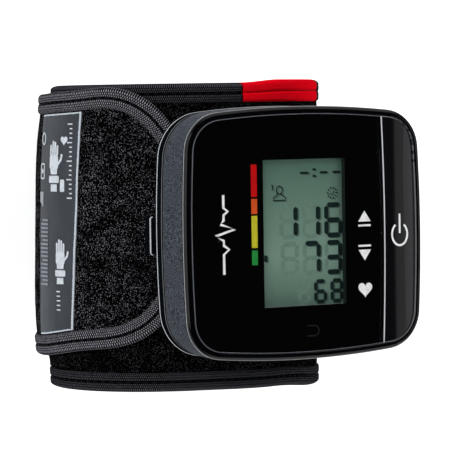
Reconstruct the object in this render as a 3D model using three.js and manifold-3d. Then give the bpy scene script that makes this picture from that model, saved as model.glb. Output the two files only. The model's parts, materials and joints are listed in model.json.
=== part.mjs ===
// Wrist blood pressure monitor: a case on a closed, preformed wrist cuff, lying face up.
// Millimetres, +Z out of the face, +X to the right of the face, +Y along the wrist.
// The pieces are drawn about the centre of the face and then set on the table together.
import * as THREE from 'three';
import { mergeVertices } from 'three/addons/utils/BufferGeometryUtils.js';
import Module from 'manifold-3d';

const wasm = await Module();
wasm.setup();

// Clearances and seats
const fitGap = 0.3; // between pieces that are laid or cut against each other
const slideGap = 0.2; // between a piece and the pocket it sits in
const overrun = 2; // how far a cutting tool runs past what it cuts
const weldTolerance = 1e-5; // corners nearer than this are one corner

// Case outline, seen from the front
const caseHalfWidth = 35;
const sideBulge = 0.6;
const endBulge = 1.2;
const caseCorner = 10.1;
const seamCorner = 12.2; // the corners are rounder at the seam
const leastCorner = 2.6;
const caseWall = 1.8;

// Upper housing
const seamDepth = 11.6;
const shoulderRise = 0.9;
const shoulderWidth = 1.42;
const edgeSoftening = 0.35;
const lensInset = 1.62;
const recessDepth = 0.5;
const frontPlate = 1.5;

// Rear case
const caseDepth = 22.5;
const rearRoundX = 10;
const rearRoundY = 5;
const lipHeight = 2;
const lipWall = 1;

// Lens and mask
const lensThickness = 1.2;
const lensChamfer = 0.2;
const maskThickness = 0.2;
const maskMargin = 0.15;
const windowWidth = 24.4;
const windowEndInset = 13.45; // from the case's end to the window
const windowX = 0.35;
const windowY = 0.05;

// Display
const panelBorder = 1.8;
const panelThickness = 1.9;
const holderWall = 1;
const holderDepth = 4.5;
const ledgeWidth = 1.6;
const contactWidth = 1.1;

// Power key and its switch
const keyWidth = 12.5;
const plungerOffset = 5.7; // from the key's left edge to its switch
const keyLeftBow = 0.9;
const keyThickness = 1.6;
const keyFall = 0.5;
const keyLedgeWall = 1.1;
const keyLedgeReach = 1.5;
const keyLedgeThickness = 0.8;
const keyLedgeHalfLength = 15;
const keyTravel = 0.7;
const plungerHalfWidth = 1.6;
const ribThickness = 0.9;
const ribEndInset = 8;
const ribDepth = 0.8;
const switchSize = 6;
const switchHeight = 2.3;
const stemRadius = 1.6;
const stemStandOut = 1;
const stemFloor = 0.3;

// Main board and what is on it
const boardThickness = 1.2;
const boardLeftInset = 15; // the board's edges lie this far inside the case's sides
const boardRightInset = 4;
const boardEndInset = 4.5;
const boardCorner = 7;
const touchPadRadius = 2.9;
const touchPadX = 2.3;
const touchPadInset = 7; // from the case's lower end
const chipSize = 8;
const chipHeight = 1.2;
const chipFromPump = 13.4; // between their middles
const chipY = -4;
const buzzerRadius = 6;
const buzzerHeight = 3.2;
const buzzerEndInset = 17; // from the case's lower end
const soundHoleRadius = 1;
const soundHoleDepth = 1;

// Air system
const airToValve = 3.6; // from the middle of the manifold to the valve
const airX = 4;
const airLevel = 14.2;
const sensorSize = 7;
const sensorHeight = 3.4;
const portRadius = 1.2;
const portLength = 0.8;
const manifoldWidth = 8;
const manifoldHeight = 5;
const manifoldRise = 2;
const tubeRadius = 1.8;
const nippleX = 4;
const nippleY = 0;
const nippleRadius = 1.8;
const nippleBore = 0.9;
const nippleFlangeRadius = 3;
const nippleFlange = 0.6;
const nippleTop = 18.6;
const pumpInset = 12.6; // from the case's side to the pump's axis
const motorRadius = 6;
const motorEndInset = 10.5; // from the case's end to the motor
const motorNeckRadius = 2.4;
const motorNeckLength = 1.2;
const pumpHeadSize = 11.4;
const pumpHeadLength = 11;
const pumpHeadCorner = 2.5;
const nozzleRadius = 1.4;
const nozzleLength = 2.2;
const tubeBend = 3; // room for the tube's bend beyond the pump's nozzle
const valveWidth = 9;
const valveSideInset = 9.4;
const valveEndInset = 7.4;
const valveNozzleOffset = 4.3; // from the valve's lower side
const valveTop = 8.9;
const valveBottom = 19.2;
const valveCoilInset = 1.2;
const valveYoke = 1.2;

// Cells, their contacts, pocket and door
const cellRadius = 5.25;
const cellLength = 44.5;
const cellNubRadius = 1.9;
const cellNubLength = 1;
const cellShoulder = 0.5;
const cellGap = 0.5;
const cellDepth = 14.5;
const cellSideInset = 9.6; // from the case's side to the axis of the outer cell
const contactRoom = 2.95; // for the contacts at each end of a cell
const pocketEndRoom = 6.8; // from the pocket's end to the case's end
const pocketSlack = 1.25; // for a finger beside the outer cell
const pocketWall = 1.3;
const pocketRoof = 0.7;
const pocketTop = 7.9;
const contactPlate = 0.4;
const contactHalfWidth = 3;
const contactHalfHeight = 3;
const coilWire = 0.35;
const coilRadius = 2.9;
const coilTurns = 3;
const doorLand = 1.35; // how far the pocket runs past the door
const doorEndLand = 0.6;
const doorTop = 14.5;
const railReach = 0.9;
const railThickness = 0.8;
const railLength = 17;
const railInset = 0.9;
const catchHalfHeight = 4.9;
const catchStandOut = 1.3;
const catchTop = 14.8;
const catchThickness = 2.9;
const catchCorner = 0.8;

// Saddle plate and screws
const plateDoorGap = 1.3;
const plateMargin = 3.2; // beyond the screws' axes
const plateEndMargin = 2.6;
const plateCorner = 3;
const plateDepth = 9;
const screwEndInset = 7.8; // from the case's end to the screws' axes
const screwRadius = 1.1;
const screwHeadRadius = 2.1;
const screwHead = 1.4;
const screwSocketRadius = 1;
const screwSocketDepth = 0.7;
const screwSeat = 24;
const screwTip = 10;
const screwPlay = 0.25;
const bossRadius = 2.2;
const bossGap = 0.25; // to the wall of the cell pocket
const bossValveGap = 0.6;
const bossBoreTop = 9;
const bossLift = 0.7;

// Cuff loop, seen along the wrist
const loopHalfWidth = 39.5;
const loopHalfHeight = 33;
const loopX = -4.75;
const loopTop = 24;
const standFlat = 0.5;
const stepLength = 4;

// Padded body of the cuff
const cuffLow = -41.6;
const cuffHigh = 38.3;
const bindingWidth = 5.3;
const bodyThickness = 5;
const coverInset = 0.4;
const coverThickness = 1;
const shellThickness = 0.8;
const bladderThickness = 1;
const bladderMargin = 3;
const bladderHalfLength = 62;
const bodyStartRise = 36.2; // the ends of the body, along the loop from its lowest point
const bodyEndRise = 33.1;
const markerStart = -1;
const markerLength = 39;

// Flap, strap and label
const flapThickness = 2.4;
const pileGap = 0.8;
const tipPlace = 13;
const tipBlunt = 2;
const shiftRun = 22;
const tipRound = 26;
const flapHalfWidth = 33.8;
const flapFlare = 0.7; // the flap widens by this on each side, beyond its round end
const flareRun = 18;
const flarePlace = 42;
const neckHalfWidth = 33;
const neckRun = 16;
const neckPlace = 70;
const tipCentre = 4; // the flap is sewn a little askew: its end lies further along the wrist
const flapRest = 1.6;
const settleRun = 36;
const settlePlace = 30;
const hingeRise = 27.9; // along the loop from its lowest point
const strapFlareRun = 35;
const webInset = 0.7;
const webThickness = 1;
const labelThickness = 0.4;
const labelStart = 44.8;
const labelLength = 31.5;
const labelMargin = 0.4;
const patchStart = 29;
const patchLength = 24;
const patchHalfWidth = 22;
const patchThickness = 0.4;

// Counts and shares
const sideSteps = 6;
const cornerSteps = 5;
const roundSteps = 6;
const tipSteps = 9;
const tipPowerShare = 2.4;
const roundSides = 18;
const smallSides = 12;
const tubeSides = 8;
const tubeSteps = 12;
const coilSteps = 8;
const coilSides = 5;
const arcSamples = 1440;
const shoulderShare = 0.75; // height of the shoulder half way across it
const softeningShare = 0.33;

// Places worked out from the sizes
const pocketHalfLength = cellLength / 2 + contactRoom;
const caseHalfHeight = pocketHalfLength + pocketEndRoom;
const cellLeftPlace = -caseHalfWidth + cellSideInset;
const cellRightPlace = cellLeftPlace + 2 * cellRadius + cellGap;
const pocketLeft = cellLeftPlace - cellRadius - pocketSlack;
const pocketRight = cellRightPlace + cellRadius + slideGap;
const doorRight = pocketRight - doorLand;
const doorHalfLength = pocketHalfLength - doorEndLand;
const windowHeight = 2 * (caseHalfHeight - windowEndInset);
const keyLeft = caseHalfWidth - keyWidth;
const plungerPlace = keyLeft + plungerOffset;
const ribHalfLength = caseHalfHeight - ribEndInset;
const boardLeft = -caseHalfWidth + boardLeftInset;
const boardRight = caseHalfWidth - boardRightInset;
const boardHalfHeight = caseHalfHeight - boardEndInset;
const touchPadY = -caseHalfHeight + touchPadInset;
const valveRight = caseHalfWidth - valveSideInset;
const valveLeft = valveRight - valveWidth;
const valveHigh = caseHalfHeight - valveEndInset;
const valveLow = valveHigh - valveWidth;
const valveNozzleY = valveLow + valveNozzleOffset;
const airY = valveLow - airToValve;
const pumpX = caseHalfWidth - pumpInset;
const pumpEnd = airY - tubeBend - fitGap;
const motorStart = -caseHalfHeight + motorEndInset;
const motorLength = pumpEnd - nozzleLength - pumpHeadLength - motorStart;
const buzzerX = (pocketRight + pocketWall + pumpX - motorRadius) / 2;
const buzzerY = -caseHalfHeight + buzzerEndInset;
const chipX = pumpX - chipFromPump;
const screwRow = caseHalfHeight - screwEndInset;
const screwLeft = pocketRight + pocketWall + bossRadius + bossGap;
const screwRight = valveLeft - bossRadius - bossValveGap;
const plateLeft = doorRight + plateDoorGap;
const plateRight = screwRight + plateMargin;
const plateHalfLength = screwRow + plateEndMargin;
const lensTop = shoulderRise;
const lensBottom = lensTop - lensThickness;
const recessFloor = lensBottom - maskThickness;
const plateUnder = -recessDepth - frontPlate;
const panelUnder = plateUnder - panelThickness;
const boardTop = plateUnder - holderDepth;
const boardUnder = boardTop - boardThickness;
const caseFloor = -caseDepth + caseWall;
const loopZ = -loopTop - loopHalfHeight;
const standLevel = loopZ - loopHalfHeight + standFlat;
const bodyShift = -(flapThickness + pileGap);
const cuffCentre = (cuffLow + cuffHigh) / 2;
const cuffHalfWidth = (cuffHigh - cuffLow) / 2;

// Materials
function finish(color, roughness, metalness = 0, opacity = 1) {
  return new THREE.MeshStandardMaterial({ color, roughness, metalness, opacity, transparent: opacity < 1 });
}
const finishes = {
  housing: finish(0x1b1c20, 0.5),
  darkPlastic: finish(0x202125, 0.6),
  lens: finish(0x0a0b0d, 0.08, 0, 0.4),
  mask: finish(0x050506, 0.4),
  panel: finish(0x9aa8a0, 0.35),
  whitePlastic: finish(0xd8d8d2, 0.5),
  key: finish(0x0b0b0d, 0.12),
  board: finish(0x1e5a38, 0.5),
  chip: finish(0x151517, 0.5),
  steel: finish(0xb4b6ba, 0.3, 1),
  tube: finish(0xd9dad6, 0.6),
  cell: finish(0x3d4f63, 0.35, 0.4),
  fabric: finish(0x141417, 0.95),
  binding: finish(0x1d1d21, 0.9),
  marker: finish(0xc01622, 0.85),
  label: finish(0x4a4b50, 0.5),
  lining: finish(0x26272b, 0.95),
  bladder: finish(0x55565a, 0.6),
  hook: finish(0x0f0f11, 0.9),
};

// Solids and cuts
function solidOf(geometry) {
  const plain = geometry.index ? geometry.clone() : geometry;
  plain.deleteAttribute('normal');
  plain.deleteAttribute('uv');
  const merged = mergeVertices(plain, weldTolerance);
  const vertProperties = new Float32Array(merged.attributes.position.array);
  const triVerts = new Uint32Array(merged.index.array);
  return new wasm.Manifold(new wasm.Mesh({ numProp: 3, vertProperties, triVerts }));
}

function geometryOf(solid) {
  const made = solid.getMesh();
  const geometry = new THREE.BufferGeometry();
  geometry.setAttribute('position', new THREE.BufferAttribute(new Float32Array(made.vertProperties), 3));
  geometry.setIndex(new THREE.BufferAttribute(new Uint32Array(made.triVerts), 1));
  geometry.computeVertexNormals();
  return geometry;
}

function joined(...solids) {
  return solids.reduce((all, one) => all.add(one));
}

function cut(solid, ...tools) {
  return tools.reduce((left, tool) => left.subtract(tool), solid);
}

function block(x0, x1, y0, y1, z0, z1) {
  const geometry = new THREE.BoxGeometry(x1 - x0, y1 - y0, z1 - z0);
  geometry.translate((x0 + x1) / 2, (y0 + y1) / 2, (z0 + z1) / 2);
  return solidOf(geometry);
}

function rod(radius, x, y, z0, z1, sides = smallSides) {
  const geometry = new THREE.CylinderGeometry(radius, radius, z1 - z0, sides);
  geometry.rotateX(Math.PI / 2);
  geometry.translate(x, y, (z0 + z1) / 2);
  return solidOf(geometry);
}

function rodAlongY(radius, x, z, y0, y1, sides = smallSides) {
  const geometry = new THREE.CylinderGeometry(radius, radius, y1 - y0, sides);
  geometry.translate(x, (y0 + y1) / 2, z);
  return solidOf(geometry);
}

function rodAlongX(radius, y, z, x0, x1, sides = smallSides) {
  const geometry = new THREE.CylinderGeometry(radius, radius, x1 - x0, sides);
  geometry.rotateZ(Math.PI / 2);
  geometry.translate((x0 + x1) / 2, y, z);
  return solidOf(geometry);
}

function prism(points, z0, z1) {
  const geometry = new THREE.ExtrudeGeometry(new THREE.Shape(points), { depth: z1 - z0, bevelEnabled: false });
  geometry.translate(0, 0, z0);
  return solidOf(geometry);
}

function roundedRectangle(x0, x1, y0, y1, corner) {
  const shape = new THREE.Shape();
  shape.moveTo(x0 + corner, y0);
  shape.lineTo(x1 - corner, y0);
  shape.absarc(x1 - corner, y0 + corner, corner, -Math.PI / 2, 0);
  shape.lineTo(x1, y1 - corner);
  shape.absarc(x1 - corner, y1 - corner, corner, 0, Math.PI / 2);
  shape.lineTo(x0 + corner, y1);
  shape.absarc(x0 + corner, y1 - corner, corner, Math.PI / 2, Math.PI);
  shape.lineTo(x0, y0 + corner);
  shape.absarc(x0 + corner, y0 + corner, corner, Math.PI, 1.5 * Math.PI);
  return shape.getPoints(cornerSteps);
}

// A body through rings with equal numbers of points, closed at both ends
function loft(rings) {
  const count = rings[0].points.length;
  const positions = rings.flatMap(({ points, z }) => points.flatMap((p) => [p.x, p.y, z]));
  const index = [];
  for (let r = 0; r + 1 < rings.length; r += 1) {
    for (let k = 0; k < count; k += 1) {
      const a = r * count + k;
      const b = r * count + ((k + 1) % count);
      index.push(a, b, b + count, a, b + count, a + count);
    }
  }
  const last = (rings.length - 1) * count;
  THREE.ShapeUtils.triangulateShape(rings[0].points, []).forEach(([a, b, c]) => index.push(c, b, a));
  THREE.ShapeUtils.triangulateShape(rings[rings.length - 1].points, []).forEach(([a, b, c]) => {
    index.push(last + a, last + b, last + c);
  });
  const geometry = new THREE.BufferGeometry();
  geometry.setAttribute('position', new THREE.Float32BufferAttribute(positions, 3));
  geometry.setIndex(index);
  return solidOf(geometry);
}

// Case outline: four bowed sides joined by round corners
function caseOutline(insetX, insetY = insetX, round = caseCorner) {
  const corner = Math.max(round - (insetX + insetY) / 2, leastCorner);
  const reachX = caseHalfWidth - insetX - corner;
  const reachY = caseHalfHeight - insetY - corner;
  const postX = reachX - sideBulge;
  const postY = reachY - endBulge;
  const posts = [[postX, -postY], [postX, postY], [-postX, postY], [-postX, -postY]];
  const bulges = [sideBulge, endBulge, sideBulge, endBulge];
  const points = [];
  posts.forEach((post, side) => {
    const from = new THREE.Vector2(...post);
    const to = new THREE.Vector2(...posts[(side + 1) % posts.length]);
    const along = to.clone().sub(from);
    const out = new THREE.Vector2(along.y, -along.x).normalize();
    const lean = Math.atan2(4 * bulges[side], along.length());
    const angle = out.angle();
    for (let k = 0; k <= sideSteps; k += 1) {
      const share = k / sideSteps;
      const slope = angle - lean * (1 - 2 * share);
      const bow = 4 * bulges[side] * share * (1 - share);
      const base = from.clone().addScaledVector(along, share).addScaledVector(out, bow);
      points.push(base.add(new THREE.Vector2(Math.cos(slope), Math.sin(slope)).multiplyScalar(corner)));
    }
    const nextSide = (side + 1) % posts.length;
    const nextTo = new THREE.Vector2(...posts[(side + 2) % posts.length]);
    const nextLean = Math.atan2(4 * bulges[nextSide], nextTo.clone().sub(to).length());
    const start = angle + lean;
    const end = angle + Math.PI / 2 - nextLean;
    for (let k = 1; k < cornerSteps; k += 1) {
      const turn = start + (end - start) * (k / cornerSteps);
      points.push(to.clone().add(new THREE.Vector2(Math.cos(turn), Math.sin(turn)).multiplyScalar(corner)));
    }
  });
  return points;
}

function casePrism(inset, z0, z1) {
  return loft([{ points: caseOutline(inset), z: z0 }, { points: caseOutline(inset), z: z1 }]);
}

// Everything right of the bowed line between lens and power key
function keySide(offset) {
  const points = [];
  for (let k = 0; k <= 2 * sideSteps; k += 1) {
    const share = k / sideSteps - 1;
    points.push(new THREE.Vector2(
      keyLeft + offset + keyLeftBow * (1 - share * share),
      -share * (caseHalfHeight + overrun),
    ));
  }
  points.push(new THREE.Vector2(caseHalfWidth + overrun, -caseHalfHeight - overrun));
  points.push(new THREE.Vector2(caseHalfWidth + overrun, caseHalfHeight + overrun));
  return prism(points, -caseDepth, shoulderRise + overrun);
}

// Screw places, one for each corner of the saddle plate
const screwPlaces = [
  [screwLeft, -screwRow],
  [screwLeft, screwRow],
  [screwRight, -screwRow],
  [screwRight, screwRow],
];

// Upper housing: shoulder round the lens, side wall, front plate and screw bosses
function upperHousing() {
  const outer = loft([
    { points: caseOutline(0, 0, seamCorner), z: -seamDepth + fitGap / 2 },
    { points: caseOutline(0), z: -edgeSoftening },
    { points: caseOutline(edgeSoftening * softeningShare), z: 0 },
    { points: caseOutline(shoulderWidth / 2), z: shoulderRise * shoulderShare },
    { points: caseOutline(shoulderWidth), z: shoulderRise },
  ]);
  const cavity = casePrism(caseWall, -seamDepth - overrun, plateUnder);
  const recess = casePrism(lensInset, recessFloor, shoulderRise + overrun);
  const keyOpening = casePrism(lensInset, -seamDepth - overrun, shoulderRise + overrun).intersect(keySide(0));
  const bosses = screwPlaces.map(([x, y]) => rod(bossRadius, x, y, caseFloor + bossLift, plateUnder + frontPlate / 2));
  const bores = screwPlaces.map(([x, y]) => rod(screwRadius + screwPlay, x, y, -caseDepth, -bossBoreTop));
  return cut(
    joined(cut(outer, cavity), ...bosses),
    recess,
    keyOpening,
    windowCut(0, plateUnder - overrun, recessFloor + overrun),
    rod(touchPadRadius + fitGap, touchPadX, touchPadY, boardTop, recessFloor + overrun),
    ...bores,
  );
}

function windowCut(border, z0, z1) {
  const halfWidth = windowWidth / 2 + border;
  const halfHeight = windowHeight / 2 + border;
  return block(windowX - halfWidth, windowX + halfWidth, windowY - halfHeight, windowY + halfHeight, z0, z1);
}

// Rear case: rounded bowl with a lip at the seam, cell pocket, door opening and screw holes
function bowl(inset, floor, top, round = caseCorner) {
  const rings = [];
  for (let k = roundSteps; k >= 0; k -= 1) {
    const turn = (k / roundSteps) * (Math.PI / 2);
    const share = 1 - Math.cos(turn);
    rings.push({
      points: caseOutline(inset + rearRoundX * share, inset + rearRoundY * share, round),
      z: -seamDepth + (floor + seamDepth) * Math.sin(turn),
    });
  }
  rings.push({ points: caseOutline(inset, inset, round), z: top });
  return loft(rings);
}

function rearCase() {
  const rim = -seamDepth - fitGap / 2;
  const roof = -pocketTop;
  const outside = bowl(0, -caseDepth, roof, seamCorner);
  const shell = cut(
    bowl(0, -caseDepth, rim + fitGap, seamCorner).intersect(casePrism(-overrun, -caseDepth - overrun, rim)),
    bowl(caseWall, caseFloor, rim + overrun),
  );
  const lipInset = caseWall + fitGap;
  const lip = cut(
    casePrism(lipInset, rim - lipWall, -seamDepth + lipHeight),
    casePrism(lipInset + lipWall, rim - overrun, -seamDepth + lipHeight + overrun),
  );
  const lipSeat = cut(casePrism(lipWall, rim - lipWall, rim), casePrism(lipInset + lipWall, rim - overrun, rim + overrun));
  const pocketPart = (top) => block(
    -caseHalfWidth,
    pocketRight + pocketWall,
    -pocketHalfLength - pocketWall,
    pocketHalfLength + pocketWall,
    caseFloor - caseWall / 2,
    top,
  ).intersect(outside);
  const pocket = joined(pocketPart(rim), pocketPart(roof).intersect(casePrism(lipInset, -caseDepth, roof)));
  const space = block(
    pocketLeft,
    pocketRight,
    -pocketHalfLength,
    pocketHalfLength,
    caseFloor - caseWall / 2,
    roof - pocketRoof,
  ).intersect(bowl(caseWall, caseFloor, roof));
  const doorHalf = doorHalfLength + fitGap;
  const doorOpening = block(
    -caseHalfWidth - overrun,
    doorRight + fitGap,
    -doorHalf,
    doorHalf,
    -caseDepth - overrun,
    -doorTop + fitGap,
  );
  const groove = block(
    -caseHalfWidth - overrun,
    doorRight + fitGap,
    -doorHalf - railReach,
    doorHalf + railReach,
    -caseDepth + railInset - fitGap,
    -caseDepth + railInset + railThickness + fitGap,
  );
  const screwHoles = screwPlaces.map(([x, y]) => (
    rod(screwRadius + screwPlay, x, y, -caseDepth - overrun, caseFloor + overrun)
  ));
  return cut(
    joined(shell, lipSeat, lip, pocket),
    space,
    doorOpening,
    groove,
    rod(nippleRadius + fitGap, nippleX, nippleY, -caseDepth - overrun, caseFloor + overrun),
    ...screwHoles,
  );
}

// Battery door: the lower left of the bowl, with side rails and a thumb catch
function batteryDoor() {
  const part = block(
    -caseHalfWidth - overrun,
    doorRight,
    -doorHalfLength,
    doorHalfLength,
    -caseDepth - overrun,
    -doorTop,
  );
  const skin = cut(
    bowl(0, -caseDepth, -seamDepth + overrun, seamCorner),
    bowl(caseWall, caseFloor, -seamDepth + 2 * overrun),
  );
  const rails = block(
    doorRight - railLength,
    doorRight,
    -doorHalfLength - railReach,
    doorHalfLength + railReach,
    -caseDepth + railInset,
    -caseDepth + railInset + railThickness,
  ).intersect(cut(
    bowl(0, -caseDepth, -seamDepth + overrun, seamCorner),
    block(
      doorRight - railLength - overrun,
      doorRight + overrun,
      -doorHalfLength + caseWall,
      doorHalfLength - caseWall,
      -caseDepth,
      -seamDepth,
    ),
  ));
  const thumbPoints = roundedRectangle(
    -caseHalfWidth - catchStandOut,
    -caseHalfWidth + caseWall,
    -catchHalfHeight,
    catchHalfHeight,
    catchCorner,
  );
  const thumb = cut(
    prism(thumbPoints, -catchTop - catchThickness, -catchTop),
    bowl(caseWall / 2, caseFloor, -seamDepth + overrun),
  );
  return joined(skin.intersect(part), rails, thumb);
}

// Lens, mask and power key share the recess in the face
function faceSlab(inset, z0, z1, chamfer) {
  return loft([
    { points: caseOutline(inset), z: z0 },
    { points: caseOutline(inset), z: z1 - chamfer },
    { points: caseOutline(inset + chamfer), z: z1 },
  ]);
}

function displayLens() {
  return cut(faceSlab(lensInset + slideGap, lensBottom, lensTop, lensChamfer), keySide(-fitGap / 2));
}

function lensMask() {
  const film = casePrism(lensInset + slideGap + maskMargin, recessFloor, lensBottom);
  return cut(film, keySide(-fitGap / 2 - maskMargin), windowCut(0, recessFloor - overrun, lensBottom + overrun));
}

// Crowned top of the key: a profile across the case, swept along it
function keyCrown() {
  const shape = new THREE.Shape();
  shape.moveTo(keyLeft - overrun, lensTop - keyThickness);
  shape.lineTo(caseHalfWidth, lensTop - keyThickness);
  for (let k = roundSteps; k >= 0; k -= 1) {
    const share = k / roundSteps;
    shape.lineTo(keyLeft + keyLeftBow + (caseHalfWidth - keyLeft) * share, lensTop - keyFall * share * share);
  }
  shape.lineTo(keyLeft - overrun, lensTop);
  const length = 2 * (caseHalfHeight + overrun);
  const geometry = new THREE.ExtrudeGeometry(shape, { depth: length, bevelEnabled: false });
  geometry.rotateX(Math.PI / 2);
  geometry.translate(0, length / 2, 0);
  return solidOf(geometry);
}

const plungerEnd = boardTop + switchHeight + stemStandOut;

function powerKey() {
  const outline = faceSlab(lensInset + slideGap, -caseDepth, lensTop, lensChamfer).intersect(keySide(fitGap / 2));
  const cap = outline.intersect(keyCrown());
  const wallLeft = keyLeft + keyLeftBow + fitGap;
  const capUnder = lensTop - keyThickness;
  const ledgeTop = plateUnder - fitGap;
  const wall = block(
    wallLeft,
    wallLeft + keyLedgeWall,
    -keyLedgeHalfLength,
    keyLedgeHalfLength,
    ledgeTop - keyLedgeThickness,
    capUnder + ribDepth / 2,
  );
  const ledge = block(
    wallLeft - keyLedgeReach,
    wallLeft + keyLedgeWall,
    -keyLedgeHalfLength,
    keyLedgeHalfLength,
    ledgeTop - keyLedgeThickness,
    ledgeTop,
  );
  const plunger = block(
    plungerPlace - plungerHalfWidth,
    plungerPlace + plungerHalfWidth,
    -plungerHalfWidth,
    plungerHalfWidth,
    plungerEnd,
    capUnder + ribDepth / 2,
  );
  const rib = block(
    plungerPlace - ribThickness / 2,
    plungerPlace + ribThickness / 2,
    -ribHalfLength,
    ribHalfLength,
    capUnder - ribDepth,
    capUnder + ribDepth / 2,
  );
  return joined(cap, wall, ledge, plunger, rib);
}

function powerSwitch() {
  const half = switchSize / 2;
  const body = block(plungerPlace - half, plungerPlace + half, -half, half, boardTop, boardTop + switchHeight);
  return cut(body, rod(stemRadius + slideGap, plungerPlace, 0, boardTop + stemFloor, boardTop + switchHeight + overrun));
}

function switchStem() {
  return rod(stemRadius, plungerPlace, 0, boardTop + stemFloor + keyTravel + slideGap, plungerEnd);
}

// Display panel in its holder, with the rubber strip that joins it to the board
function displayPanel() {
  return windowCut(panelBorder, panelUnder, plateUnder);
}

function contactStripCut(gap, z0, z1) {
  const right = windowX - windowWidth / 2 - (panelBorder - contactWidth) / 2;
  const halfHeight = windowHeight / 2;
  return block(right - contactWidth - gap, right + gap, -halfHeight - gap, halfHeight + gap, z0, z1);
}

function panelHolder() {
  return cut(
    windowCut(panelBorder + slideGap + holderWall, boardTop, plateUnder),
    windowCut(panelBorder + slideGap, panelUnder, plateUnder + overrun),
    windowCut(panelBorder - ledgeWidth, boardTop - overrun, panelUnder + overrun),
    contactStripCut(slideGap, boardTop - overrun, panelUnder + overrun),
  );
}

function contactStrip() {
  return contactStripCut(0, boardTop, panelUnder);
}

// Main board and the parts soldered to it
function mainBoard() {
  const outline = roundedRectangle(boardLeft, boardRight, -boardHalfHeight, boardHalfHeight, boardCorner);
  const holes = screwPlaces.map(([x, y]) => (
    rod(bossRadius + fitGap, x, y, boardUnder - overrun, boardTop + overrun)
  ));
  return cut(prism(outline, boardUnder, boardTop), ...holes);
}

function squareUnderBoard(size, x, y, height) {
  return block(x - size / 2, x + size / 2, y - size / 2, y + size / 2, boardUnder - height, boardUnder);
}

function pressureSensor() {
  const under = boardUnder - sensorHeight;
  return joined(
    squareUnderBoard(sensorSize, airX, airY, sensorHeight),
    rod(portRadius, airX, airY, under - portLength, under + portLength),
  );
}

function buzzer() {
  const under = boardUnder - buzzerHeight;
  return cut(
    rod(buzzerRadius, buzzerX, buzzerY, under, boardUnder, roundSides),
    rod(soundHoleRadius, buzzerX, buzzerY, under - overrun, under + soundHoleDepth),
  );
}

// Air system: pump, valve, manifold and tubes at one level under the board
const manifoldTop = boardUnder - sensorHeight - portLength - fitGap;

function airManifold() {
  const half = manifoldWidth / 2;
  return cut(
    block(airX - half, airX + half, airY - half, airY + half, manifoldTop - manifoldHeight, manifoldTop),
    rod(portRadius, airX, airY, manifoldTop - manifoldRise, manifoldTop + overrun),
  );
}

function pumpMotor() {
  const motorEnd = motorStart + motorLength;
  return joined(
    rodAlongY(motorRadius, pumpX, -airLevel, motorStart, motorEnd, roundSides),
    rodAlongY(motorNeckRadius, pumpX, -airLevel, motorStart - motorNeckLength, motorStart + motorNeckLength),
  );
}

function pumpHead() {
  const start = motorStart + motorLength;
  const half = pumpHeadSize / 2;
  const outline = roundedRectangle(pumpX - half, pumpX + half, -half, half, pumpHeadCorner);
  const geometry = new THREE.ExtrudeGeometry(new THREE.Shape(outline), { depth: pumpHeadLength, bevelEnabled: false });
  geometry.rotateX(-Math.PI / 2);
  geometry.translate(0, start, -airLevel);
  const end = start + pumpHeadLength;
  return joined(solidOf(geometry), rodAlongY(nozzleRadius, pumpX, -airLevel, end - nozzleLength, end + nozzleLength));
}

function releaseValve() {
  const coil = rod(
    (valveHigh - valveLow) / 2 - valveCoilInset,
    (valveLeft + valveRight) / 2,
    (valveLow + valveHigh) / 2,
    -valveBottom + valveYoke / 2,
    -valveTop - valveYoke / 2,
    roundSides,
  );
  const plates = [-valveBottom, -valveTop - valveYoke].map((z) => (
    block(valveLeft, valveRight, valveLow, valveHigh, z, z + valveYoke)
  ));
  const side = block(valveLeft, valveLeft + valveYoke, valveLow, valveHigh, -valveBottom, -valveTop);
  const nozzle = rodAlongX(nozzleRadius, valveNozzleY, -airLevel, valveLeft - nozzleLength, valveLeft + valveYoke / 2);
  return joined(coil, ...plates, side, nozzle);
}

function tubeAlong(points) {
  const path = new THREE.CatmullRomCurve3(points.map((p) => new THREE.Vector3(...p)));
  const circle = [];
  for (let k = 0; k < tubeSides; k += 1) {
    const turn = (2 * Math.PI * k) / tubeSides;
    circle.push(new THREE.Vector2(tubeRadius * Math.cos(turn), tubeRadius * Math.sin(turn)));
  }
  const geometry = new THREE.ExtrudeGeometry(new THREE.Shape(circle), { extrudePath: path, steps: tubeSteps });
  return solidOf(geometry);
}

function nippleTube() {
  const end = airY - manifoldWidth / 2 - fitGap;
  return tubeAlong([
    [nippleX, nippleY, -nippleTop + fitGap],
    [nippleX, nippleY, -airLevel - tubeRadius],
    [nippleX, nippleY + tubeRadius, -airLevel],
    [nippleX, end, -airLevel],
  ]);
}

function pumpTube() {
  const start = airX + manifoldWidth / 2 + fitGap;
  const end = pumpEnd + fitGap;
  return tubeAlong([
    [start, airY, -airLevel],
    [start + tubeRadius, airY, -airLevel],
    [pumpX - 2 * tubeRadius, airY, -airLevel],
    [pumpX, airY - tubeRadius, -airLevel],
    [pumpX, end, -airLevel],
  ]);
}

function valveTube() {
  const start = airY + manifoldWidth / 2 + fitGap;
  const end = valveLeft - nozzleLength - fitGap;
  return tubeAlong([
    [airX, start, -airLevel],
    [airX, start + tubeRadius / 2, -airLevel],
    [airX + tubeRadius, valveNozzleY - slideGap, -airLevel],
    [end, valveNozzleY, -airLevel],
  ]);
}

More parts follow.
